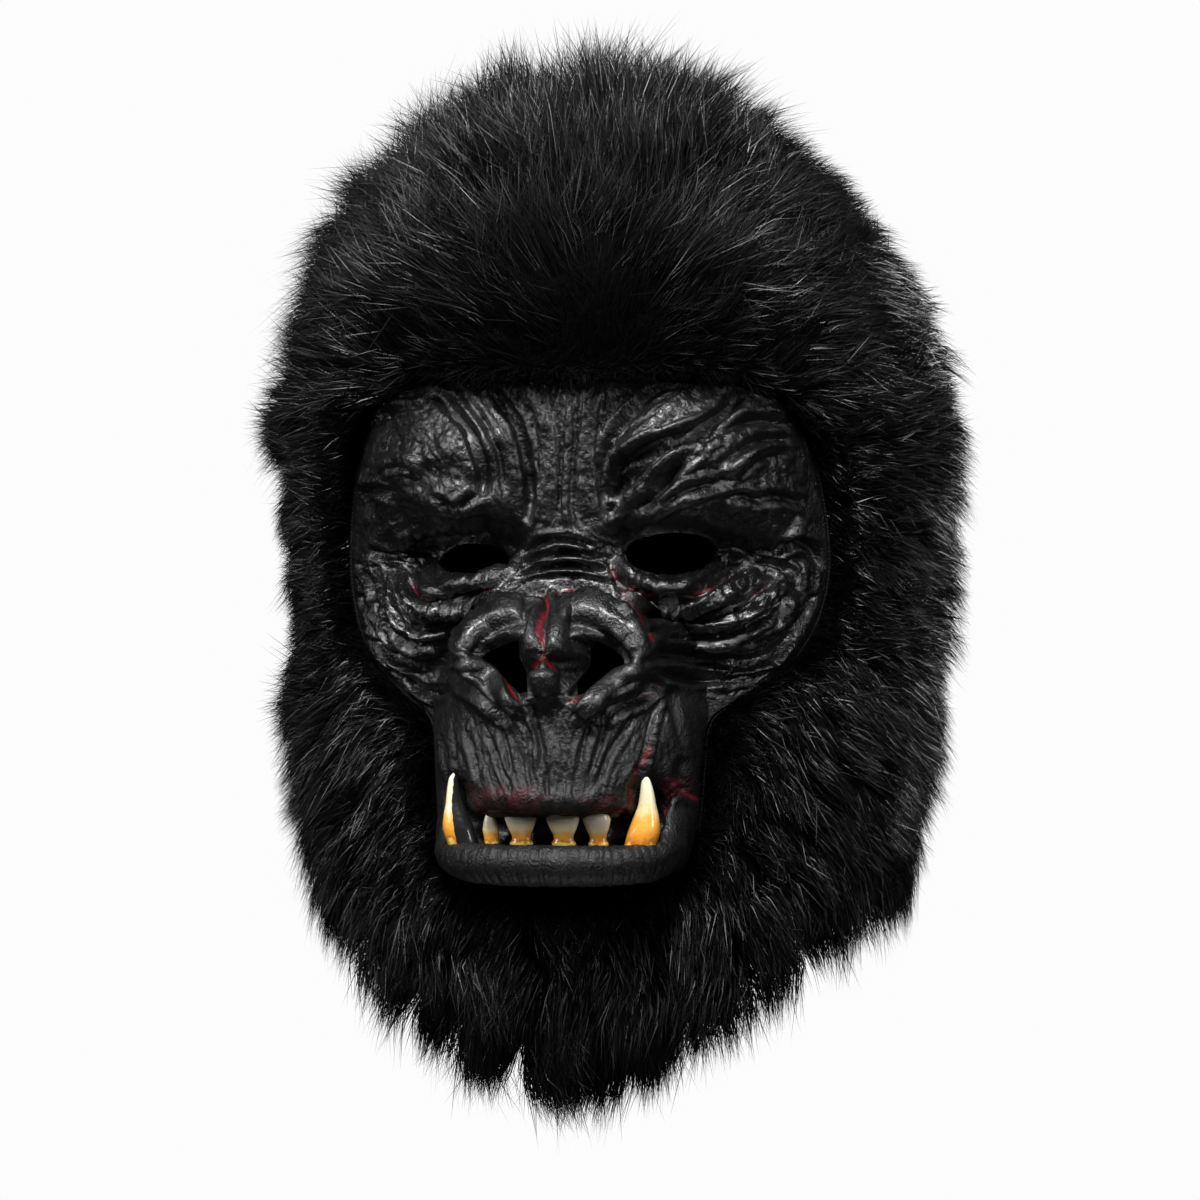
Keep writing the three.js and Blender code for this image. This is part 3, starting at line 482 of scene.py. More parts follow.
def folded(waves):
    """Rounded ridges with narrow creases between them, from waves that pass through nought."""
    return 1 - np.exp(-1.9 * np.abs(waves)) - 0.55


steer = steering()
coarse = folded(streaked(3, 1.3, 4.5, steer))
fine = folded(streaked(5, 0.7, 1.6, steer))
lumps = blurred(np.random.default_rng(8).standard_normal(grain_size), 5.5)

front_grid, back_grid, fold_steps, hole_steps, hole_snap = (286, 290), (75, 76), 18, 60, 4.0
# how deep the folds and the coarse, fine and lumpy wrinkles are, and how much of them the lips keep
relief_factor, wrinkle_heights, rim_fade, lip_hold = 1.85, (2.1, 1.5, 0.7), 3.0, 0.4
# the undercoat's strength and half width in a crease, and where and by how much the muzzle is more matt
crease_red, red_width, matt_from, matt_over, matt_by = 0.92, 0.62, 0.64, 0.06, 0.4


def face_grid(rows, columns):
    """Shares down and across, and places across and up, closer together towards the sides."""
    down = np.linspace(0, 1, rows + 1)[:, None] * np.ones(columns + 1)
    spread = np.linspace(-1, 1, columns + 1)[None, :] * np.ones((rows + 1, 1))
    x = outline_half(down) * (0.7 * spread + 0.3 * np.sin(np.pi / 2 * spread))
    return down, spread, x, face_top - down * face_high


down_grid, spread, x_grid, z_grid = face_grid(*front_grid)

# The holes' lines: each eye has a flat top under the brow, and each nostril is a comma
eye_holes = [
    [212, 347, 243, 318, 325, 303, 428, 297, 529, 304, 573, 325, 565, 355, 509, 378, 428, 388,
     336, 384, 264, 371, 222, 360],
    [-586, 357, -549, 333, -465, 318, -347, 322, -267, 342, -235, 365, -323, 377, -412, 386, -500, 381,
     -561, 373],
]
nostrils = [
    [135, 510, 180, 512, 243, 531, 291, 552, 279, 570, 234, 592, 176, 610, 100, 624, 90, 610, 115, 585,
     140, 561, 145, 535],
    [-300, 550, -250, 530, -190, 517, -135, 510, -130, 526, -135, 547, -100, 572, -80, 597, -70, 622,
     -100, 622, -160, 606, -220, 587, -270, 569],
]
hole_lines = [face_line(shape + shape[:2], hole_steps) for shape in eye_holes + nostrils]


def within(line, x, z):
    """Whether each point lies inside a closed line."""
    inside = np.zeros(x.shape, bool)
    for (ax, az), (bx, bz) in zip(line[:-1], line[1:]):
        if az == bz:
            continue
        crosses = ((az > z) != (bz > z)) & (x < ax + (z - az) * (bx - ax) / (bz - az))
        inside ^= crosses
    return inside


def nearest_on(line, x, z):
    """The nearest place on a closed line, with the direction from there into the hole."""
    best = np.full(x.shape, 1e9)
    found = np.zeros((4, *x.shape))
    middle = line[:-1].mean(0)
    for a, b in zip(line[:-1], line[1:]):
        run = b - a
        s = np.clip(((x - a[0]) * run[0] + (z - a[1]) * run[1]) / (run @ run), 0, 1)
        px, pz = a[0] + s * run[0], a[1] + s * run[1]
        away = np.hypot(x - px, z - pz)
        inward = np.array([-run[1], run[0]]) / np.hypot(*run)
        inward = inward * np.sign(inward @ (middle - (a + b) / 2))
        nearer = away < best
        best = np.where(nearer, away, best)
        for k, value in enumerate((px, pz, inward[0], inward[1])):
            found[k] = np.where(nearer, value, found[k])
    return found


def cut_holes(x, z):
    """Moves the points at each hole's edge onto it. Gives the points at holes, the directions into them
    and the quads that are kept."""
    in_hole = np.zeros(x.shape, bool)
    inward = np.zeros((2, *x.shape))
    for line in hole_lines:
        inside = within(line, x, z)
        if not inside.any():
            continue
        px, pz, nx, nz = nearest_on(line, x[inside], z[inside])
        near = np.hypot(px - x[inside], pz - z[inside]) < hole_snap
        x[inside] = np.where(near, px, x[inside])
        z[inside] = np.where(near, pz, z[inside])
        inward[0][inside], inward[1][inside] = nx, nz
        in_hole |= inside
    gone = in_hole[:-1, :-1] & in_hole[1:, :-1] & in_hole[:-1, 1:] & in_hole[1:, 1:]
    index = np.arange(x.size).reshape(x.shape)
    quads = np.stack([index[:-1, :-1], index[1:, :-1], index[1:, 1:], index[:-1, 1:]], -1)[~gone]
    return in_hole, inward, quads


in_hole, inward, face_quads = cut_holes(x_grid, z_grid)
depth_grid = face_depth(x_grid, z_grid)

relief = np.zeros(x_grid.shape)
paint = np.zeros(x_grid.shape)
for half_width, rise, red, beads, line in fine_folds:
    path = face_line(line, fold_steps)
    reach = 3.2 * half_width + 1
    low, high = path.min(0) - reach, path.max(0) + reach
    window = (x_grid > low[0]) & (x_grid < high[0]) & (z_grid > low[1]) & (z_grid < high[1])
    away, place = near_path(path, x_grid[window], z_grid[window])
    share = away / half_width
    taper = np.sqrt(np.clip(np.sin(np.pi * place) * 1.25, 0, 1))
    cut = 1 - 0.4 * np.exp(-((np.sin(np.pi * beads * place) / 0.45) ** 2)) if beads else 1.0
    if rise > 0:
        bump = np.maximum(1 - share**2, 0) ** 0.8 * cut - 0.25 * np.exp(-(((share - 1.1) / 0.3) ** 2))
    else:
        bump = np.exp(-(share**2)) - 0.4 * np.exp(-(((share - 2.1) / 0.9) ** 2))
    relief[window] += relief_factor * rise * taper * bump
    if red:
        line_paint = crease_red * red * np.exp(-((away / red_width) ** 2)) * np.clip(taper * 1.5, 0, 1)
        paint[window] = np.maximum(paint[window], line_paint)



def off_patch(a, d, wide, tall):
    """How far each point is from an oval patch's middle: nought there and one at its edge, squared."""
    return ((x_grid / face_half - a) / wide) ** 2 + ((down_grid - d) / tall) ** 2


strength = np.zeros((3, *x_grid.shape))
for *patch, coarse_share, fine_share, lump_share in wrinkle_zones:
    held = np.clip(1.6 * (1 - off_patch(*patch)), 0, 1)
    for k, amount in enumerate((coarse_share, fine_share, lump_share)):
        strength[k] = np.maximum(strength[k], amount * held)
wrinkles = [
    height * share * sample(field, x_grid, z_grid)
    for height, share, field in zip(wrinkle_heights, strength, (coarse, fine, lumps))
]
relief += wrinkles[0] + wrinkles[1] + wrinkles[2]
to_end = np.minimum(down_grid, 1 - down_grid) * face_high
relief *= smooth(np.minimum(outline_half(down_grid) - np.abs(x_grid), to_end) / rim_fade)

skin = np.stack([x_grid, -depth_grid, z_grid], -1)
normals = np.cross(np.gradient(skin, axis=1), np.gradient(skin, axis=0))
normals /= np.linalg.norm(normals, axis=-1, keepdims=True) + 1e-9
normals *= -np.sign(normals[..., 1:2] + 1e-9)
skin = skin + normals * relief[..., None] * np.where(in_hole, lip_hold, 1.0)[..., None]

# Greenish grey gum, unpainted between the teeth: across, down, half width, half height
gum_patches = [
    (-0.32, 0.885, 0.055, 0.02), (-0.185, 0.868, 0.03, 0.022), (-0.01, 0.862, 0.035, 0.02),
    (0.147, 0.858, 0.03, 0.016), (0.262, 0.868, 0.03, 0.022),
]
# Faint red left in the hollows: across, down, half width, half height, strength
red_patches = [
    (-0.12, 0.818, 0.3, 0.045, 0.42), (0.47, 0.8, 0.1, 0.04, 0.5), (0.22, 0.82, 0.12, 0.035, 0.36),
]
for *patch, amount in red_patches:
    paint = np.maximum(paint, amount * np.clip(1 - off_patch(*patch), 0, 1))
gum = np.zeros(x_grid.shape)
for patch in gum_patches:
    gum = np.maximum(gum, np.clip(1.5 * (1.3 - off_patch(*patch)), 0, 1))

# The skin's points, each with its red, its bare gum, its gloss and its place on the map for baking,
# which has the front on the left and the holes' edges and the back on the right
points = [skin.reshape(-1, 3)]
quads = [face_quads]
paints = [paint.ravel()]
gums = [gum.ravel()]
matt_below = smooth((down_grid - matt_from) / matt_over)
wets = [(strength[0] * (1 - matt_below) - matt_by * matt_below).ravel()]
uv = [np.stack([0.01 + 0.78 * (spread + 1) / 2, 0.01 + 0.98 * (1 - down_grid)], -1).reshape(-1, 2)]
count = x_grid.size


def boundary(quads_of, total):
    """Edges that only one quad uses, in its own order."""
    edges = np.concatenate([quads_of[:, [k, (k + 1) % 4]] for k in range(4)])
    keys = edges.min(1).astype(np.int64) * total + edges.max(1)
    _, first, used = np.unique(keys, return_index=True, return_counts=True)
    return edges[first[used == 1]]


# The wall's thickness shows at the holes and at the rim: the skin turns over a round edge and back
edges = boundary(face_quads, x_grid.size)
used = np.unique(edges)
place_of = np.full(x_grid.size, -1)
place_of[used] = np.arange(len(used))
face_middle = np.array([0.0, face_top - 0.45 * face_high])
rim_way = points[0][used][:, [0, 2]] - face_middle
rim_way /= np.linalg.norm(rim_way, axis=1, keepdims=True)
is_hole = in_hole.ravel()[used][:, None]
turn_in = np.where(is_hole, inward.reshape(2, -1)[:, used].T, rim_way)
# how far into a hole and how far back there, how far out past the rim and how far back there
lip_rows = [(0.3, 0.25, 0.1, 0.3), (0.45, 0.8, 0.1, 1.2), (0.4, 1.7, 0.4, 2.6), (0.1, 2.7, 2.4, 3.2)]
for k, (into_hole, hole_back, past_rim, rim_back) in enumerate(lip_rows):
    row = points[0][used].copy()
    row[:, [0, 2]] += np.where(is_hole, into_hole, past_rim) * turn_in
    row[:, 1] += np.where(is_hole[:, 0], hole_back, rim_back)
    points.append(row)
    before = edges if k == 0 else count - len(used) + place_of[edges]
    after = count + place_of[edges]
    quads.append(np.stack([before[:, 1], before[:, 0], after[:, 0], after[:, 1]], 1))
    paints.append(np.where(in_hole.ravel()[used], 0.6, 0.0) * (k + 1) / 4)
    gums.append(np.zeros(len(used)))
    wets.append(np.full(len(used), 0.5))
    strip = (np.arange(len(used)) + 0.5) / len(used)
    uv.append(np.stack([0.82 + 0.17 * strip, np.full(len(used), 0.55 + 0.08 * k)], 1))
    count += len(used)

# Back of the wall, plain and a little coarser, a wall's thickness from the front in every direction
back_down, back_spread, back_x, back_z = face_grid(*back_grid)
_, _, back_quads = cut_holes(back_x, back_z)
back_depth = face_depth(back_x, back_z) - rubber_wall
for share in (0.6, 1.0):
    reach = rubber_wall * math.sqrt(1 - share * share)
    aside = share * rubber_wall
    for angle in np.arange(8) * math.pi / 4:
        beside = face_depth(back_x + aside * math.cos(angle), back_z + aside * math.sin(angle))
        back_depth = np.minimum(back_depth, beside - reach)
points.append(np.stack([back_x, -back_depth, back_z], -1).reshape(-1, 3))
quads.append(back_quads[:, ::-1] + count)
for values in (paints, gums, wets):
    values.append(np.zeros(back_x.size))
uv.append(np.stack([0.82 + 0.17 * (back_spread + 1) / 2, 0.01 + 0.48 * (1 - back_down)], -1).reshape(-1, 2))

face = add_mesh(
    "rubber_face",
    np.concatenate(points),
    np.concatenate(quads),
    values={"paint": np.concatenate(paints), "gum": np.concatenate(gums), "wet": np.concatenate(wets)},
    uv=np.concatenate(uv),
)


def add_node(tree, kind, links=(), **settings):
    """A shader node with its plain inputs and properties set, and its links made: input name, socket."""
    made = tree.nodes.new(kind)
    for key, value in settings.items():
        if key in made.inputs:
            made.inputs[key].default_value = value
        else:
            setattr(made, key, value)
    for name, socket in links:
        tree.links.new(socket, made.inputs[name])
    return made


def blend_colour(tree, share, first, second):
    """A mix of two colours, each a socket or plain numbers."""
    made = tree.nodes.new("ShaderNodeMix")
    made.data_type = "RGBA"
    tree.links.new(share, made.inputs["Factor"])
    for name, colour in (("A", first), ("B", second)):
        socket = next(s for s in made.inputs if s.name == name and s.type == "RGBA")
        if isinstance(colour, tuple):
            socket.default_value = (*colour, 1.0)
        else:
            tree.links.new(colour, socket)
    return next(s for s in made.outputs if s.type == "RGBA")


def noise(tree, place, scale, detail, roughness=0.5):
    """A noise node at a place."""
    return add_node(
        tree, "ShaderNodeTexNoise", [("Vector", place)], Scale=scale, Detail=detail, Roughness=roughness,
    )


def map_range(tree, value, low, high, to_low=0.0, to_high=1.0):
    """A node that maps one range of values to another."""
    made = add_node(tree, "ShaderNodeMapRange", [("Value", value)])
    for name, number in (("From Min", low), ("From Max", high), ("To Min", to_low), ("To Max", to_high)):
        made.inputs[name].default_value = number
    return made


def times_plus(tree, value, factor, more):
    """A value times a factor, plus a number or another value."""
    made = add_node(tree, "ShaderNodeMath", [(0, value)], operation="MULTIPLY_ADD")
    made.inputs[1].default_value = factor
    if isinstance(more, float):
        made.inputs[2].default_value = more
    else:
        tree.links.new(more, made.inputs[2])
    return made.outputs[0]


def combined(tree, first, second, operation):
    """The sum or product of two values."""
    return add_node(tree, "ShaderNodeMath", [(0, first), (1, second)], operation=operation).outputs[0]


def bumped(tree, height, strength, distance, below=None):
    """A surface direction with a height's small relief in it, on top of another's."""
    links = [("Height", height)] + ([] if below is None else [("Normal", below)])
    return add_node(tree, "ShaderNodeBump", links, Strength=strength, Distance=distance).outputs["Normal"]


# Latex: black with a little cloudiness, ragged red and bare gum where the point values say so, a fine
# grain and a net of cracks, glossier where the small wrinkles are strong and more matt on the muzzle
latex, shader = new_material("black_latex", (0.02, 0.02, 0.021), 0.4)
tree = latex.node_tree
place = add_node(tree, "ShaderNodeTexCoord").outputs["Object"]
clouds = noise(tree, place, 230.0, 6.0, 0.65).outputs["Fac"]
grit = noise(tree, place, 1500.0, 4.0, 0.6).outputs["Fac"]
warp = noise(tree, place, 260.0, 2.0)
warped = add_node(
    tree, "ShaderNodeVectorMath", [(0, warp.outputs["Color"]), (2, place)], operation="MULTIPLY_ADD",
)
warped.inputs[1].default_value = (0.006, 0.006, 0.006)
cracks = add_node(
    tree, "ShaderNodeTexVoronoi", [("Vector", warped.outputs["Vector"])],
    Scale=430.0, feature="DISTANCE_TO_EDGE",
).outputs["Distance"]
red, bare, wet = (
    add_node(tree, "ShaderNodeAttribute", attribute_name=name).outputs["Fac"]
    for name in ("paint", "gum", "wet")
)
black = blend_colour(tree, clouds, (0.002, 0.002, 0.0022), (0.007, 0.007, 0.0073))
ragged = times_plus(tree, clouds, 0.9, -0.45)
red_edge = map_range(tree, combined(tree, red, ragged, "ADD"), 0.2, 1.0)
red_edge.interpolation_type = "SMOOTHSTEP"
bare_edge = map_range(tree, combined(tree, bare, ragged, "ADD"), 0.45, 0.75)
with_gum = blend_colour(tree, bare_edge.outputs[0], black, (0.045, 0.055, 0.034))
coloured = blend_colour(tree, red_edge.outputs[0], with_gum, (0.13, 0.004, 0.011))
tree.links.new(coloured, shader.inputs["Base Color"])
gloss = map_range(tree, clouds, 0.3, 0.7, 0.31, 0.5).outputs[0]
tree.links.new(times_plus(tree, wet, -0.2, gloss), shader.inputs["Roughness"])
tree.links.new(map_range(tree, wet, -0.4, 0.0, 0.36, 0.5).outputs[0], shader.inputs["Specular IOR Level"])
tree.links.new(map_range(tree, wet, -0.4, 1.0, 0.0, 0.32).outputs[0], shader.inputs["Coat Weight"])
shader.inputs["Coat Roughness"].default_value = 0.14
grained = bumped(tree, grit, 0.5, 0.0005)
tree.links.new(bumped(tree, cracks, 0.45, 0.0008, grained), shader.inputs["Normal"])
face.data.materials.append(latex)
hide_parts("face")
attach(face, "root")

# Teeth: two curved fangs and four small lower teeth cast with the face and hand painted, cream at
# their tips, orange towards the gum, with a pale yellow bead of paint where each meets the lip.
fang_high = 22.5
# node, form, across, down, wide, thick, tall, lean, bow, black paint on the inner side
teeth = [
    ("right_fang", "fang", -0.355, 0.925, 0.42, 0.36, 1.0, 0.16, 0.2, 1),
    ("right_outer_tooth", "thorn", -0.235, 0.915, 0.22, 0.2, 0.45, 0.1, 0.0, 0),
    ("right_middle_tooth", "peg", -0.11, 0.915, 0.42, 0.22, 0.48, 0.05, 0.0, 0),
    ("left_middle_tooth", "peg", 0.06, 0.915, 0.44, 0.22, 0.48, -0.02, 0.0, 0),
    ("left_outer_tooth", "peg", 0.195, 0.915, 0.37, 0.22, 0.46, -0.05, 0.0, 0),
    ("left_fang", "fang", 0.345, 0.928, 0.43, 0.36, 1.02, 0.09, 0.28, 0),
]
# share of the height, size of the ring
tooth_forms = {
    "fang": [(-0.03, 0.7), (0.0, 0.88), (0.05, 0.98), (0.28, 1.0), (0.48, 0.74), (0.6, 0.55), (0.82, 0.38),
             (0.94, 0.26), (1.0, 0.0)],
    "thorn": [(-0.03, 0.6), (0.0, 0.8), (0.08, 0.9), (0.2, 0.86), (0.45, 1.0), (0.7, 0.76), (0.9, 0.42),
              (1.0, 0.0)],
    "peg": [(-0.04, 0.5), (0.0, 0.72), (0.08, 0.78), (0.17, 0.56), (0.3, 0.6), (0.45, 0.78), (0.72, 1.0),
            (0.88, 0.95), (0.97, 0.74), (1.0, 0.0)],
}
enamel, shader = new_material("painted_enamel", (0.85, 0.75, 0.5), 0.28)
tree = enamel.node_tree
place = add_node(tree, "ShaderNodeTexCoord").outputs["Object"]
up = add_node(tree, "ShaderNodeAttribute", attribute_name="up")
dark = add_node(tree, "ShaderNodeAttribute", attribute_name="dark")
shift = times_plus(tree, noise(tree, place, 420.0, 4.0).outputs["Fac"], 0.36, -0.18)
ramp_node = add_node(tree, "ShaderNodeValToRGB", [("Fac", combined(tree, up.outputs["Fac"], shift, "ADD"))])
ramp = ramp_node.color_ramp
# share of the height, colour of the paint there
stops = [
    (0.0, (0.88, 0.66, 0.16)), (0.07, (0.85, 0.6, 0.12)), (0.13, (0.42, 0.13, 0.01)),
    (0.2, (0.72, 0.27, 0.02)), (0.4, (0.82, 0.42, 0.07)), (0.6, (0.84, 0.7, 0.4)),
    (0.8, (0.86, 0.76, 0.54)), (1.0, (0.9, 0.82, 0.62)),
]
for at, colour in stops[:-2]:
    ramp.elements.new(at)
for element, (at, colour) in zip(ramp.elements, stops):
    element.position = at
    element.color = (*colour, 1.0)
dark_share = map_range(tree, combined(tree, dark.outputs["Fac"], shift, "ADD"), 0.47, 0.53).outputs[0]
painted = blend_colour(tree, dark_share, ramp_node.outputs["Color"], (0.012, 0.012, 0.013))
tree.links.new(painted, shader.inputs["Base Color"])
pits = noise(tree, place, 900.0, 3.0).outputs["Fac"]
tree.links.new(bumped(tree, pits, 0.25, 0.0004), shader.inputs["Normal"])
shader.inputs["Coat Weight"].default_value = 0.4
shader.inputs["Coat Roughness"].default_value = 0.15
tooth_sides, tooth_levels, root_sink = 28, 30, 0.11
for name, form, a, d, wide, thick, tall, lean, bow, blackened in teeth:
    rings = tooth_forms[form]
    wide, thick, tall = wide * fang_high, thick * fang_high, tall * fang_high
    root_x, root_z = a * face_half, face_top - d * face_high
    root_y = -face_depth(np.array([root_x]), np.array([root_z]))[0] + thick / 2 - root_sink * fang_high
    share = np.linspace(0, 1, tooth_levels + 1)
    level = rings[0][0] + (1 - rings[0][0]) * (1 - (1 - share) ** 1.5)
    size = np.interp(level, [r[0] for r in rings], [r[1] for r in rings])
    size[1:-1] = (size[:-2] + 2 * size[1:-1] + size[2:]) / 4
    angle = np.linspace(0, 2 * np.pi, tooth_sides, endpoint=False)
    wobble = 1 + 0.035 * np.sin(3 * angle + 7 * a)[None, :] * np.cos(5 * share + a)[:, None]
    ring_x = np.sign(np.cos(angle)) * np.abs(np.cos(angle)) ** 0.85
    ring_y = np.sign(np.sin(angle)) * np.abs(np.sin(angle)) ** 0.85
    outwards = np.sign(a)
    middle_x = root_x + outwards * tall * (lean * level + bow * level * (1 - level))
    x = middle_x[:, None] + wide / 2 * size[:, None] * wobble * ring_x
    y = root_y + thick / 2 * size[:, None] * wobble * ring_y
    z = (root_z + tall * level)[:, None] * np.ones(tooth_sides)
    index = np.arange(x.size).reshape(x.shape)
    ring_quads = np.stack(
        [index[:-1], np.roll(index[:-1], -1, 1), np.roll(index[1:], -1, 1), index[1:]], -1
    ).reshape(-1, 4)
    bottom, top = x.size, x.size + 1
    points = np.concatenate([
        np.stack([x, y, z], -1).reshape(-1, 3),
        [[middle_x[0], root_y, z[0, 0] - 0.2], [middle_x[-1], root_y, z[-1, 0] + 0.05]],
    ])
    caps = [(bottom, (k + 1) % tooth_sides, k) for k in range(tooth_sides)]
    caps += [(top, index[-1, k], index[-1, (k + 1) % tooth_sides]) for k in range(tooth_sides)]
    paint_up = level if form == "fang" else np.where(level < 0.15, level, 0.15 + 1.5 * (level - 0.15))
    up_values = np.append(np.repeat(np.clip(paint_up, 0, 1), tooth_sides), [0, 1])
    inner_side = -outwards * (x - middle_x[:, None]) / (wide / 2) + 0.35 * (1 - level)[:, None]
    dark_values = np.append(blackened * smooth(0.5 + 1.2 * (inner_side - 0.1)).ravel(), [0, blackened])
    tooth = add_mesh(name + "_enamel", points, ring_quads, caps, {"up": up_values, "dark": dark_values})
    tooth.data.materials.append(enamel)
    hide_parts(name)
    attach(tooth, "root")


def head_point(turn, drop):
    """Point of the cloth's outside in millimetres: turn 0 is the front, drop runs from crown to hem."""
    hem = -(nape_hem + (chin_hem - nape_hem) * ((1 + np.cos(turn)) / 2) ** hem_sweep)
    fall = 1.35 * drop * drop / (drop + 0.35)
    z = cloth_wall + (hem - cloth_wall) * fall
    side, front, back = head_section(z)
    deep = np.where(np.cos(turn) > 0, front, back)
    return np.stack([side * np.sin(turn), -deep * np.cos(turn), z], -1)


def unit(vectors):
    """Vectors with a length of one."""
    return vectors / (np.linalg.norm(vectors, axis=-1, keepdims=True) + 1e-9)


def head_normal(turn, drop):
    """Direction straight out of the cloth."""
    step = 0.01
    drop = np.clip(drop, 3 * step, 1 - step)
    downhill = head_point(turn, drop + step) - head_point(turn, drop - step)
    sideways = head_point(turn + step, drop) - head_point(turn - step, drop)
    return unit(np.cross(downhill, sideways))


rim_gap = 0.6
rim_down = np.linspace(0, 1, 80)
rim_half = outline_half(rim_down) + rim_gap
rim_up = face_top - rim_down * face_high + rim_gap * (1 - 2 * rim_down)
rim_line = np.concatenate([np.stack([rim_half, rim_up], 1), np.stack([-rim_half, rim_up], 1)[::-1]])
rim_line = np.concatenate([rim_line, rim_line[:1]])


def hood_grid(around, down):
    """A grid round the hood that stops at the face's rim: turns, drops, points, which of them are on
    the rim, the quads, and the top row's numbers, each with its neighbour's."""
    turns = np.linspace(-np.pi, np.pi, around, endpoint=False)[None, :] * np.ones((down, 1))
    drops = np.linspace(0.02, 1, down)[:, None] * np.ones((1, around))
    grid = head_point(turns, drops)
    on_rim = within(rim_line, grid[..., 0], grid[..., 2]) & (np.cos(turns) > 0)
    px, pz, _, _ = nearest_on(rim_line, grid[..., 0][on_rim], grid[..., 2][on_rim])
    side, front, _ = head_section(pz)
    grid[on_rim] = np.stack([px, -front * np.sqrt(np.maximum(1 - (px / side) ** 2, 0.02)), pz], -1)
    index = np.arange(turns.size).reshape(turns.shape)
    step_on = np.roll(index, -1, 1)
    shut = on_rim & np.roll(on_rim, -1, 1)
    quads = np.stack([index[:-1], index[1:], step_on[1:], step_on[:-1]], -1)[~(shut[:-1] & shut[1:])]
    return turns, drops, grid, on_rim, quads, list(zip(index[0], step_on[0]))


turns, drops, outside, _, cloth_quads, top_row = hood_grid(120, 56)
inside_wall = outside - cloth_wall * head_normal(turns, drops)
cloth_size, crown_row = turns.size, len(top_row)
edges = boundary(cloth_quads, cloth_size)
wall_quads = np.stack([edges[:, 1], edges[:, 0], edges[:, 0] + cloth_size, edges[:, 1] + cloth_size], 1)
wall_quads = wall_quads[~(edges < crown_row).all(1)]
crown = [(2 * cloth_size, a, b) for a, b in top_row]
crown += [(2 * cloth_size + 1, b + cloth_size, a + cloth_size) for a, b in top_row]
crown_middles = np.array([[0, 0, cloth_wall], [0, 0, 0]])
cloth = add_mesh(
    "knitted_backing",
    np.concatenate([outside.reshape(-1, 3), inside_wall.reshape(-1, 3), crown_middles]),
    np.concatenate([cloth_quads, cloth_quads[:, ::-1] + cloth_size, wall_quads]),
    crown,
)
knit, shader = new_material("black_knit", (0.012, 0.011, 0.012), 0.9)
tree = knit.node_tree
place = add_node(tree, "ShaderNodeTexCoord").outputs["Object"]
courses, wales = (
    add_node(
        tree, "ShaderNodeTexWave", [("Vector", place)], Scale=scale, Distortion=distortion,
        bands_direction=direction, wave_type="BANDS",
    ).outputs["Fac"]
    for scale, distortion, direction in ((260.0, 3.0, "Z"), (210.0, 4.0, "DIAGONAL"))
)
loops = combined(tree, courses, wales, "MULTIPLY")
shade = blend_colour(tree, loops, (0.004, 0.0035, 0.004), (0.01, 0.009, 0.0095))
tree.links.new(shade, shader.inputs["Base Color"])
tree.links.new(bumped(tree, loops, 0.4, 0.0006), shader.inputs["Normal"])
shader.inputs["Specular IOR Level"].default_value = 0.15
cloth.data.materials.append(knit)
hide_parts("hood_cloth")
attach(cloth, "root")

# Fur: long black acrylic pile, silky and a little matted into tufts, combed away from the face over
# the crown and down over the cheeks, the neck and the beard. Each strand is a tapered ribbon.
crown_pile, side_pile, pile_at_face, pile_climb, hem_fringe = 33.0, 23.0, 0.4, 30.0, 9.0
beard_half, beard_top, combed_from = 36.0, -205.0, np.array([4.0, -95.0, -118.0])
back_from, tuft_count, tuft_pull, thin_strand, thick_strand = 25, 1400, 0.72, 0.11, 0.2
# down from the crown, how much flatter the pile lies on the wearer's left
pressed_flat = [(-10, 0.3), (8, 0.45), (36, 0.42), (63, 0.28), (100, 0.18), (170, 0.12), (280, 0.0)]
ruff_width = 7.0


def pile_at(turn, drop):
    """Height of the pile, short right beside the face, and how far beside the face each place is."""
    point = head_point(turn, drop)
    down = (face_top - point[..., 2]) / face_high
    beside = np.hypot(
        np.maximum(0, np.abs(point[..., 0]) - outline_half(np.clip(down, 0, 1))),
        np.maximum(0, np.maximum(-down, down - 1)) * face_high,
    )
    beside = beside + np.maximum(0, -np.cos(turn)) * pile_climb * 3
    climb = pile_at_face + (1 - pile_at_face) * smooth(beside / pile_climb)
    flatter = along(pressed_flat, -point[..., 2], 1) * smooth((point[..., 0] - 5) / 50)
    return climb * (side_pile + (crown_pile - side_pile) * smooth(1 - drop / 0.6)) * (1 - flatter), beside


def comb(root, normal):
    """Direction along the cloth in which the pile lies at each root."""
    away = unit(root - combed_from)
    behind = smooth((root[:, 1:2] + 30) / 90)
    below = smooth((-150 - root[:, 2:3]) / 90)
    falls = np.clip(0.25 + 1.1 * behind + 1.2 * below, 0, 2.2)
    along_cloth = away * (1 - 0.75 * behind) + falls * np.array([0, 0, -1.0])
    along_cloth -= (along_cloth * normal).sum(1, keepdims=True) * normal
    return unit(along_cloth)


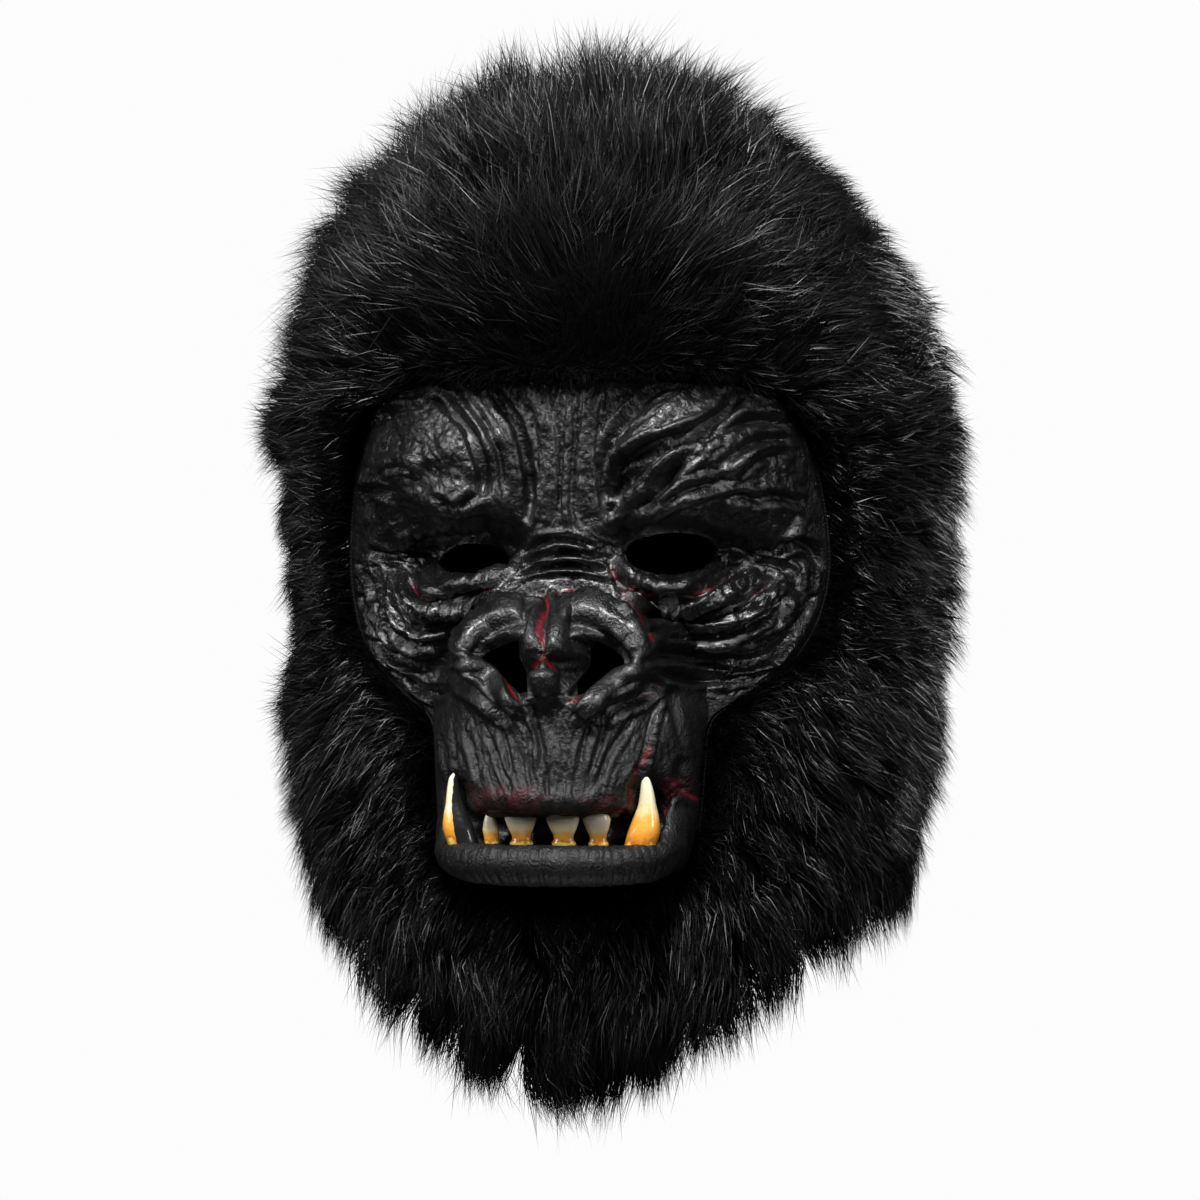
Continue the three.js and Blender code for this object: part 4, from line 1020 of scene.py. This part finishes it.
def pick_roots(rng, wanted, belongs):
    """Roots spread evenly over the part of the cloth that belongs to a piece."""
    cells = np.linspace(-np.pi, np.pi, 361), np.linspace(0.0, 1.0, 241)
    mid_turn, mid_drop = np.meshgrid(*((cell[1:] + cell[:-1]) / 2 for cell in cells))
    cell_wide, cell_tall = cells[0][1] - cells[0][0], cells[1][1] - cells[1][0]
    step = 0.003
    sideways = head_point(mid_turn + step, mid_drop) - head_point(mid_turn - step, mid_drop)
    downhill = head_point(mid_turn, np.minimum(mid_drop + step, 1)) - head_point(mid_turn, mid_drop - step)
    area = np.linalg.norm(np.cross(sideways, downhill), axis=-1)
    middle = head_point(mid_turn, mid_drop)
    _, beside = pile_at(mid_turn, mid_drop)
    thicker = 1 + 1.2 * (beside < ruff_width) + 0.7 * (beside < pile_climb) * (middle[..., 2] > face_top)
    area = area * belongs(middle) * thicker
    chosen = rng.choice(area.size, wanted * 2, p=(area / area.sum()).ravel())
    turn = mid_turn.ravel()[chosen] + (rng.random(len(chosen)) - 0.5) * cell_wide
    drop = mid_drop.ravel()[chosen] + (rng.random(len(chosen)) - 0.5) * cell_tall
    drop = np.clip(drop, 0.001, 1)
    root = head_point(turn, drop)
    bare = within(rim_line, root[:, 0], root[:, 2]) & (np.cos(turn) > 0)
    return turn[~bare][:wanted], drop[~bare][:wanted]


tuft_rng = np.random.default_rng(21)
tuft_turn, tuft_drop = pick_roots(tuft_rng, tuft_count, lambda point: np.ones(point.shape[:-1]))
tuft_root = head_point(tuft_turn, tuft_drop)
tuft_normal = head_normal(tuft_turn, tuft_drop)
tuft_length = tuft_rng.uniform(0.8, 1.14, len(tuft_root))
tuft_tone = tuft_rng.random(len(tuft_root))
tuft_sway = unit(np.cross(tuft_rng.standard_normal(tuft_root.shape), tuft_normal)) * 0.5


def in_beard(point):
    """Whether each root is on the panel under the lip."""
    return (np.abs(point[..., 0]) < beard_half * 1.08) & (point[..., 2] < beard_top) & (point[..., 1] < 0)


def on_side(point):
    """Whether each root is beside or under the face, and not on the back or the beard."""
    return (point[..., 2] <= face_top) & (point[..., 1] < back_from) & ~in_beard(point)


def add_fur(name, seed, count, belongs):
    """One piece of the pile, as tapered ribbons of two runs each. Each strand leans the way that the
    pile is combed and towards the middle of its tuft, and stands up in a ruff beside the face."""
    rng = np.random.default_rng(seed)
    turn, drop = pick_roots(rng, count, belongs)
    root, normal = head_point(turn, drop), head_normal(turn, drop)
    pile, beside = pile_at(turn, drop)
    nearest = np.empty(len(root), int)
    squares = (tuft_root**2).sum(1).astype(np.float32)
    batch, tuft_columns = 8000, tuft_root.T.astype(np.float32)
    for start in range(0, len(root), batch):
        part = root[start : start + batch].astype(np.float32)
        nearest[start : start + batch] = np.argmin(squares - 2 * part @ tuft_columns, axis=1)
    to_tuft = tuft_root[nearest] - root
    ruff = smooth(1.6 * (1 - beside / ruff_width))[:, None]
    above = smooth((root[:, 2:3] - face_top + 6) / 8)
    lies = comb(root, normal) * (1 - (1.25 + 0.9 * above) * ruff) + tuft_sway[nearest]
    lies = lies + (0.22 + 0.35 * ruff) * rng.standard_normal(root.shape)
    lies = unit(lies - (lies * normal).sum(1, keepdims=True) * normal)
    length = (pile * tuft_length[nearest] * rng.uniform(0.66, 1.1, len(root)))[:, None]
    hem_share = smooth((drop - 0.86) / 0.14)[:, None]
    brushed = above * (root[:, 1:2] < 0) * smooth((2 - root[:, 2:3]) / 60)
    brushed = brushed * smooth((beside - 9) / 22)[:, None]
    lean = (rng.uniform(0.5, 0.95, len(root))[:, None] + 0.45 * brushed) * (1 - 0.35 * ruff)
    gathers = np.clip(length / 24, 0.2, 1)
    tip = root + normal * length * (0.97 - 0.35 * hem_share - 0.4 * brushed) + lies * length * lean
    tip[:, 2:3] -= hem_fringe * hem_share * rng.uniform(0.2, 1.0, (len(root), 1))
    tip += (tuft_pull - 0.2 * hem_share) * gathers * to_tuft * rng.uniform(0.5, 1.2, (len(root), 1))
    middle = root + normal * length * (0.62 - 0.15 * brushed) + lies * length * 0.22
    middle = middle + 0.18 * gathers * to_tuft
    middle += rng.standard_normal(root.shape) * 0.12 * length
    shares = np.array([0.0, 0.55, 1.0])[:, None, None]
    base = root + 0.4 * normal
    spine = (1 - shares) ** 2 * base + 2 * shares * (1 - shares) * middle + shares**2 * tip
    run = unit(np.gradient(spine, axis=0))
    flat = unit(np.cross(run, normal[None]))
    lift = np.cross(flat, run)
    twist = rng.uniform(-1.1, 1.1, len(root))[None, :, None]
    across = flat * np.cos(twist) + lift * np.sin(twist)
    half = rng.uniform(thin_strand, thick_strand, len(root))[None, :, None]
    left, right = spine[:2] - across[:2] * half, spine[:2] + across[:2] * half
    points = np.concatenate([np.stack([left, right], 1).reshape(4, -1, 3), spine[2:]]).transpose(1, 0, 2)
    first = np.arange(len(root))[:, None] * 5
    quads = first + np.array([0, 1, 3, 2])
    tips = first + np.array([2, 3, 4])
    tone = np.clip(0.55 * tuft_tone[nearest] + 0.45 * rng.random(len(root)), 0.01, 0.99)
    uv = np.stack([
        tone[:, None] * np.ones(5),
        np.ones((len(root), 1)) * np.array([0.01, 0.01, 0.55, 0.55, 0.99]),
    ], -1)
    made = add_mesh(name, points.reshape(-1, 3), quads, tips, uv=uv.reshape(-1, 2))
    made.data.materials.append(pile_fabric)
    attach(made, "root")
    return made


pile_fabric, shader = new_material("long_pile", (0.008, 0.008, 0.009), 0.34)
tree = pile_fabric.node_tree
strand = add_node(tree, "ShaderNodeUVMap", uv_map="OFBake")
split = add_node(tree, "ShaderNodeSeparateXYZ", [("Vector", strand.outputs["UV"])])
tones = blend_colour(tree, split.outputs["X"], (0.0015, 0.0015, 0.0018), (0.007, 0.0065, 0.007))
# Each strand goes nearly black towards its root: painted shade where the strands crowd at the cloth.
shaded_roots = blend_colour(tree, split.outputs["Y"], (0.001, 0.001, 0.001), tones)
tree.links.new(shaded_roots, shader.inputs["Base Color"])
shine = map_range(tree, split.outputs["X"], 0.0, 1.0, 0.08, 0.3).outputs[0]
tree.links.new(shine, shader.inputs["Specular IOR Level"])
# piece, seed, strands, which roots belong to it
pieces = [
    ("crown_pile", 31, 58000, lambda p: (p[..., 2] > face_top) & (p[..., 1] < back_from) & ~in_beard(p)),
    ("right_pile", 32, 57000, lambda p: on_side(p) & (p[..., 0] < 0)),
    ("left_pile", 33, 58000, lambda p: on_side(p) & (p[..., 0] >= 0)),
    ("back_pile", 34, 48000, lambda p: p[..., 1] >= back_from),
    ("beard_pile", 35, 22000, in_beard),
]
for name, seed, count, belongs in pieces:
    made = add_fur(name, seed, count, belongs)
    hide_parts("beard_fur" if name == "beard_pile" else "hood_fur")

# Undercoat: the dense short fibres between the long ones, which keep the cloth from showing, as a sheet
# darker
# and more matt than the strands: painted shade deep in the pile. It stands at a share of the pile's height
# and thins out at the hem.
under_share = 0.4
turns, drops, under, on_rim, under_quads, top_row = hood_grid(96, 44)
pile, _ = pile_at(turns, drops)
tapered = np.where(on_rim, 0.05, under_share * np.clip((1 - drops) / 0.08, 0.05, 1))
under = under + head_normal(turns, drops) * (pile * tapered)[..., None]
top = [(turns.size, a, b) for a, b in top_row]
under_points = np.concatenate([under.reshape(-1, 3), [[0, 0, cloth_wall + under_share * crown_pile]]])
undercoat = add_mesh("undercoat", under_points, under_quads, top)
shaded_fuzz, shader = new_material("shaded_short_fibres", (0.003, 0.003, 0.003), 0.95)
tree = shaded_fuzz.node_tree
place = add_node(tree, "ShaderNodeTexCoord").outputs["Object"]
fluff = noise(tree, place, 500.0, 5.0).outputs["Fac"]
# Near black and almost without gloss: painted shade deep in the pile, below the long strands.
shade = blend_colour(tree, fluff, (0.0004, 0.0004, 0.0004), (0.0018, 0.0018, 0.0019))
tree.links.new(shade, shader.inputs["Base Color"])
tree.links.new(bumped(tree, fluff, 1.0, 0.002), shader.inputs["Normal"])
shader.inputs["Specular IOR Level"].default_value = 0.03
undercoat.data.materials.append(shaded_fuzz)
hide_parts("hood_fur")
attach(undercoat, "root")
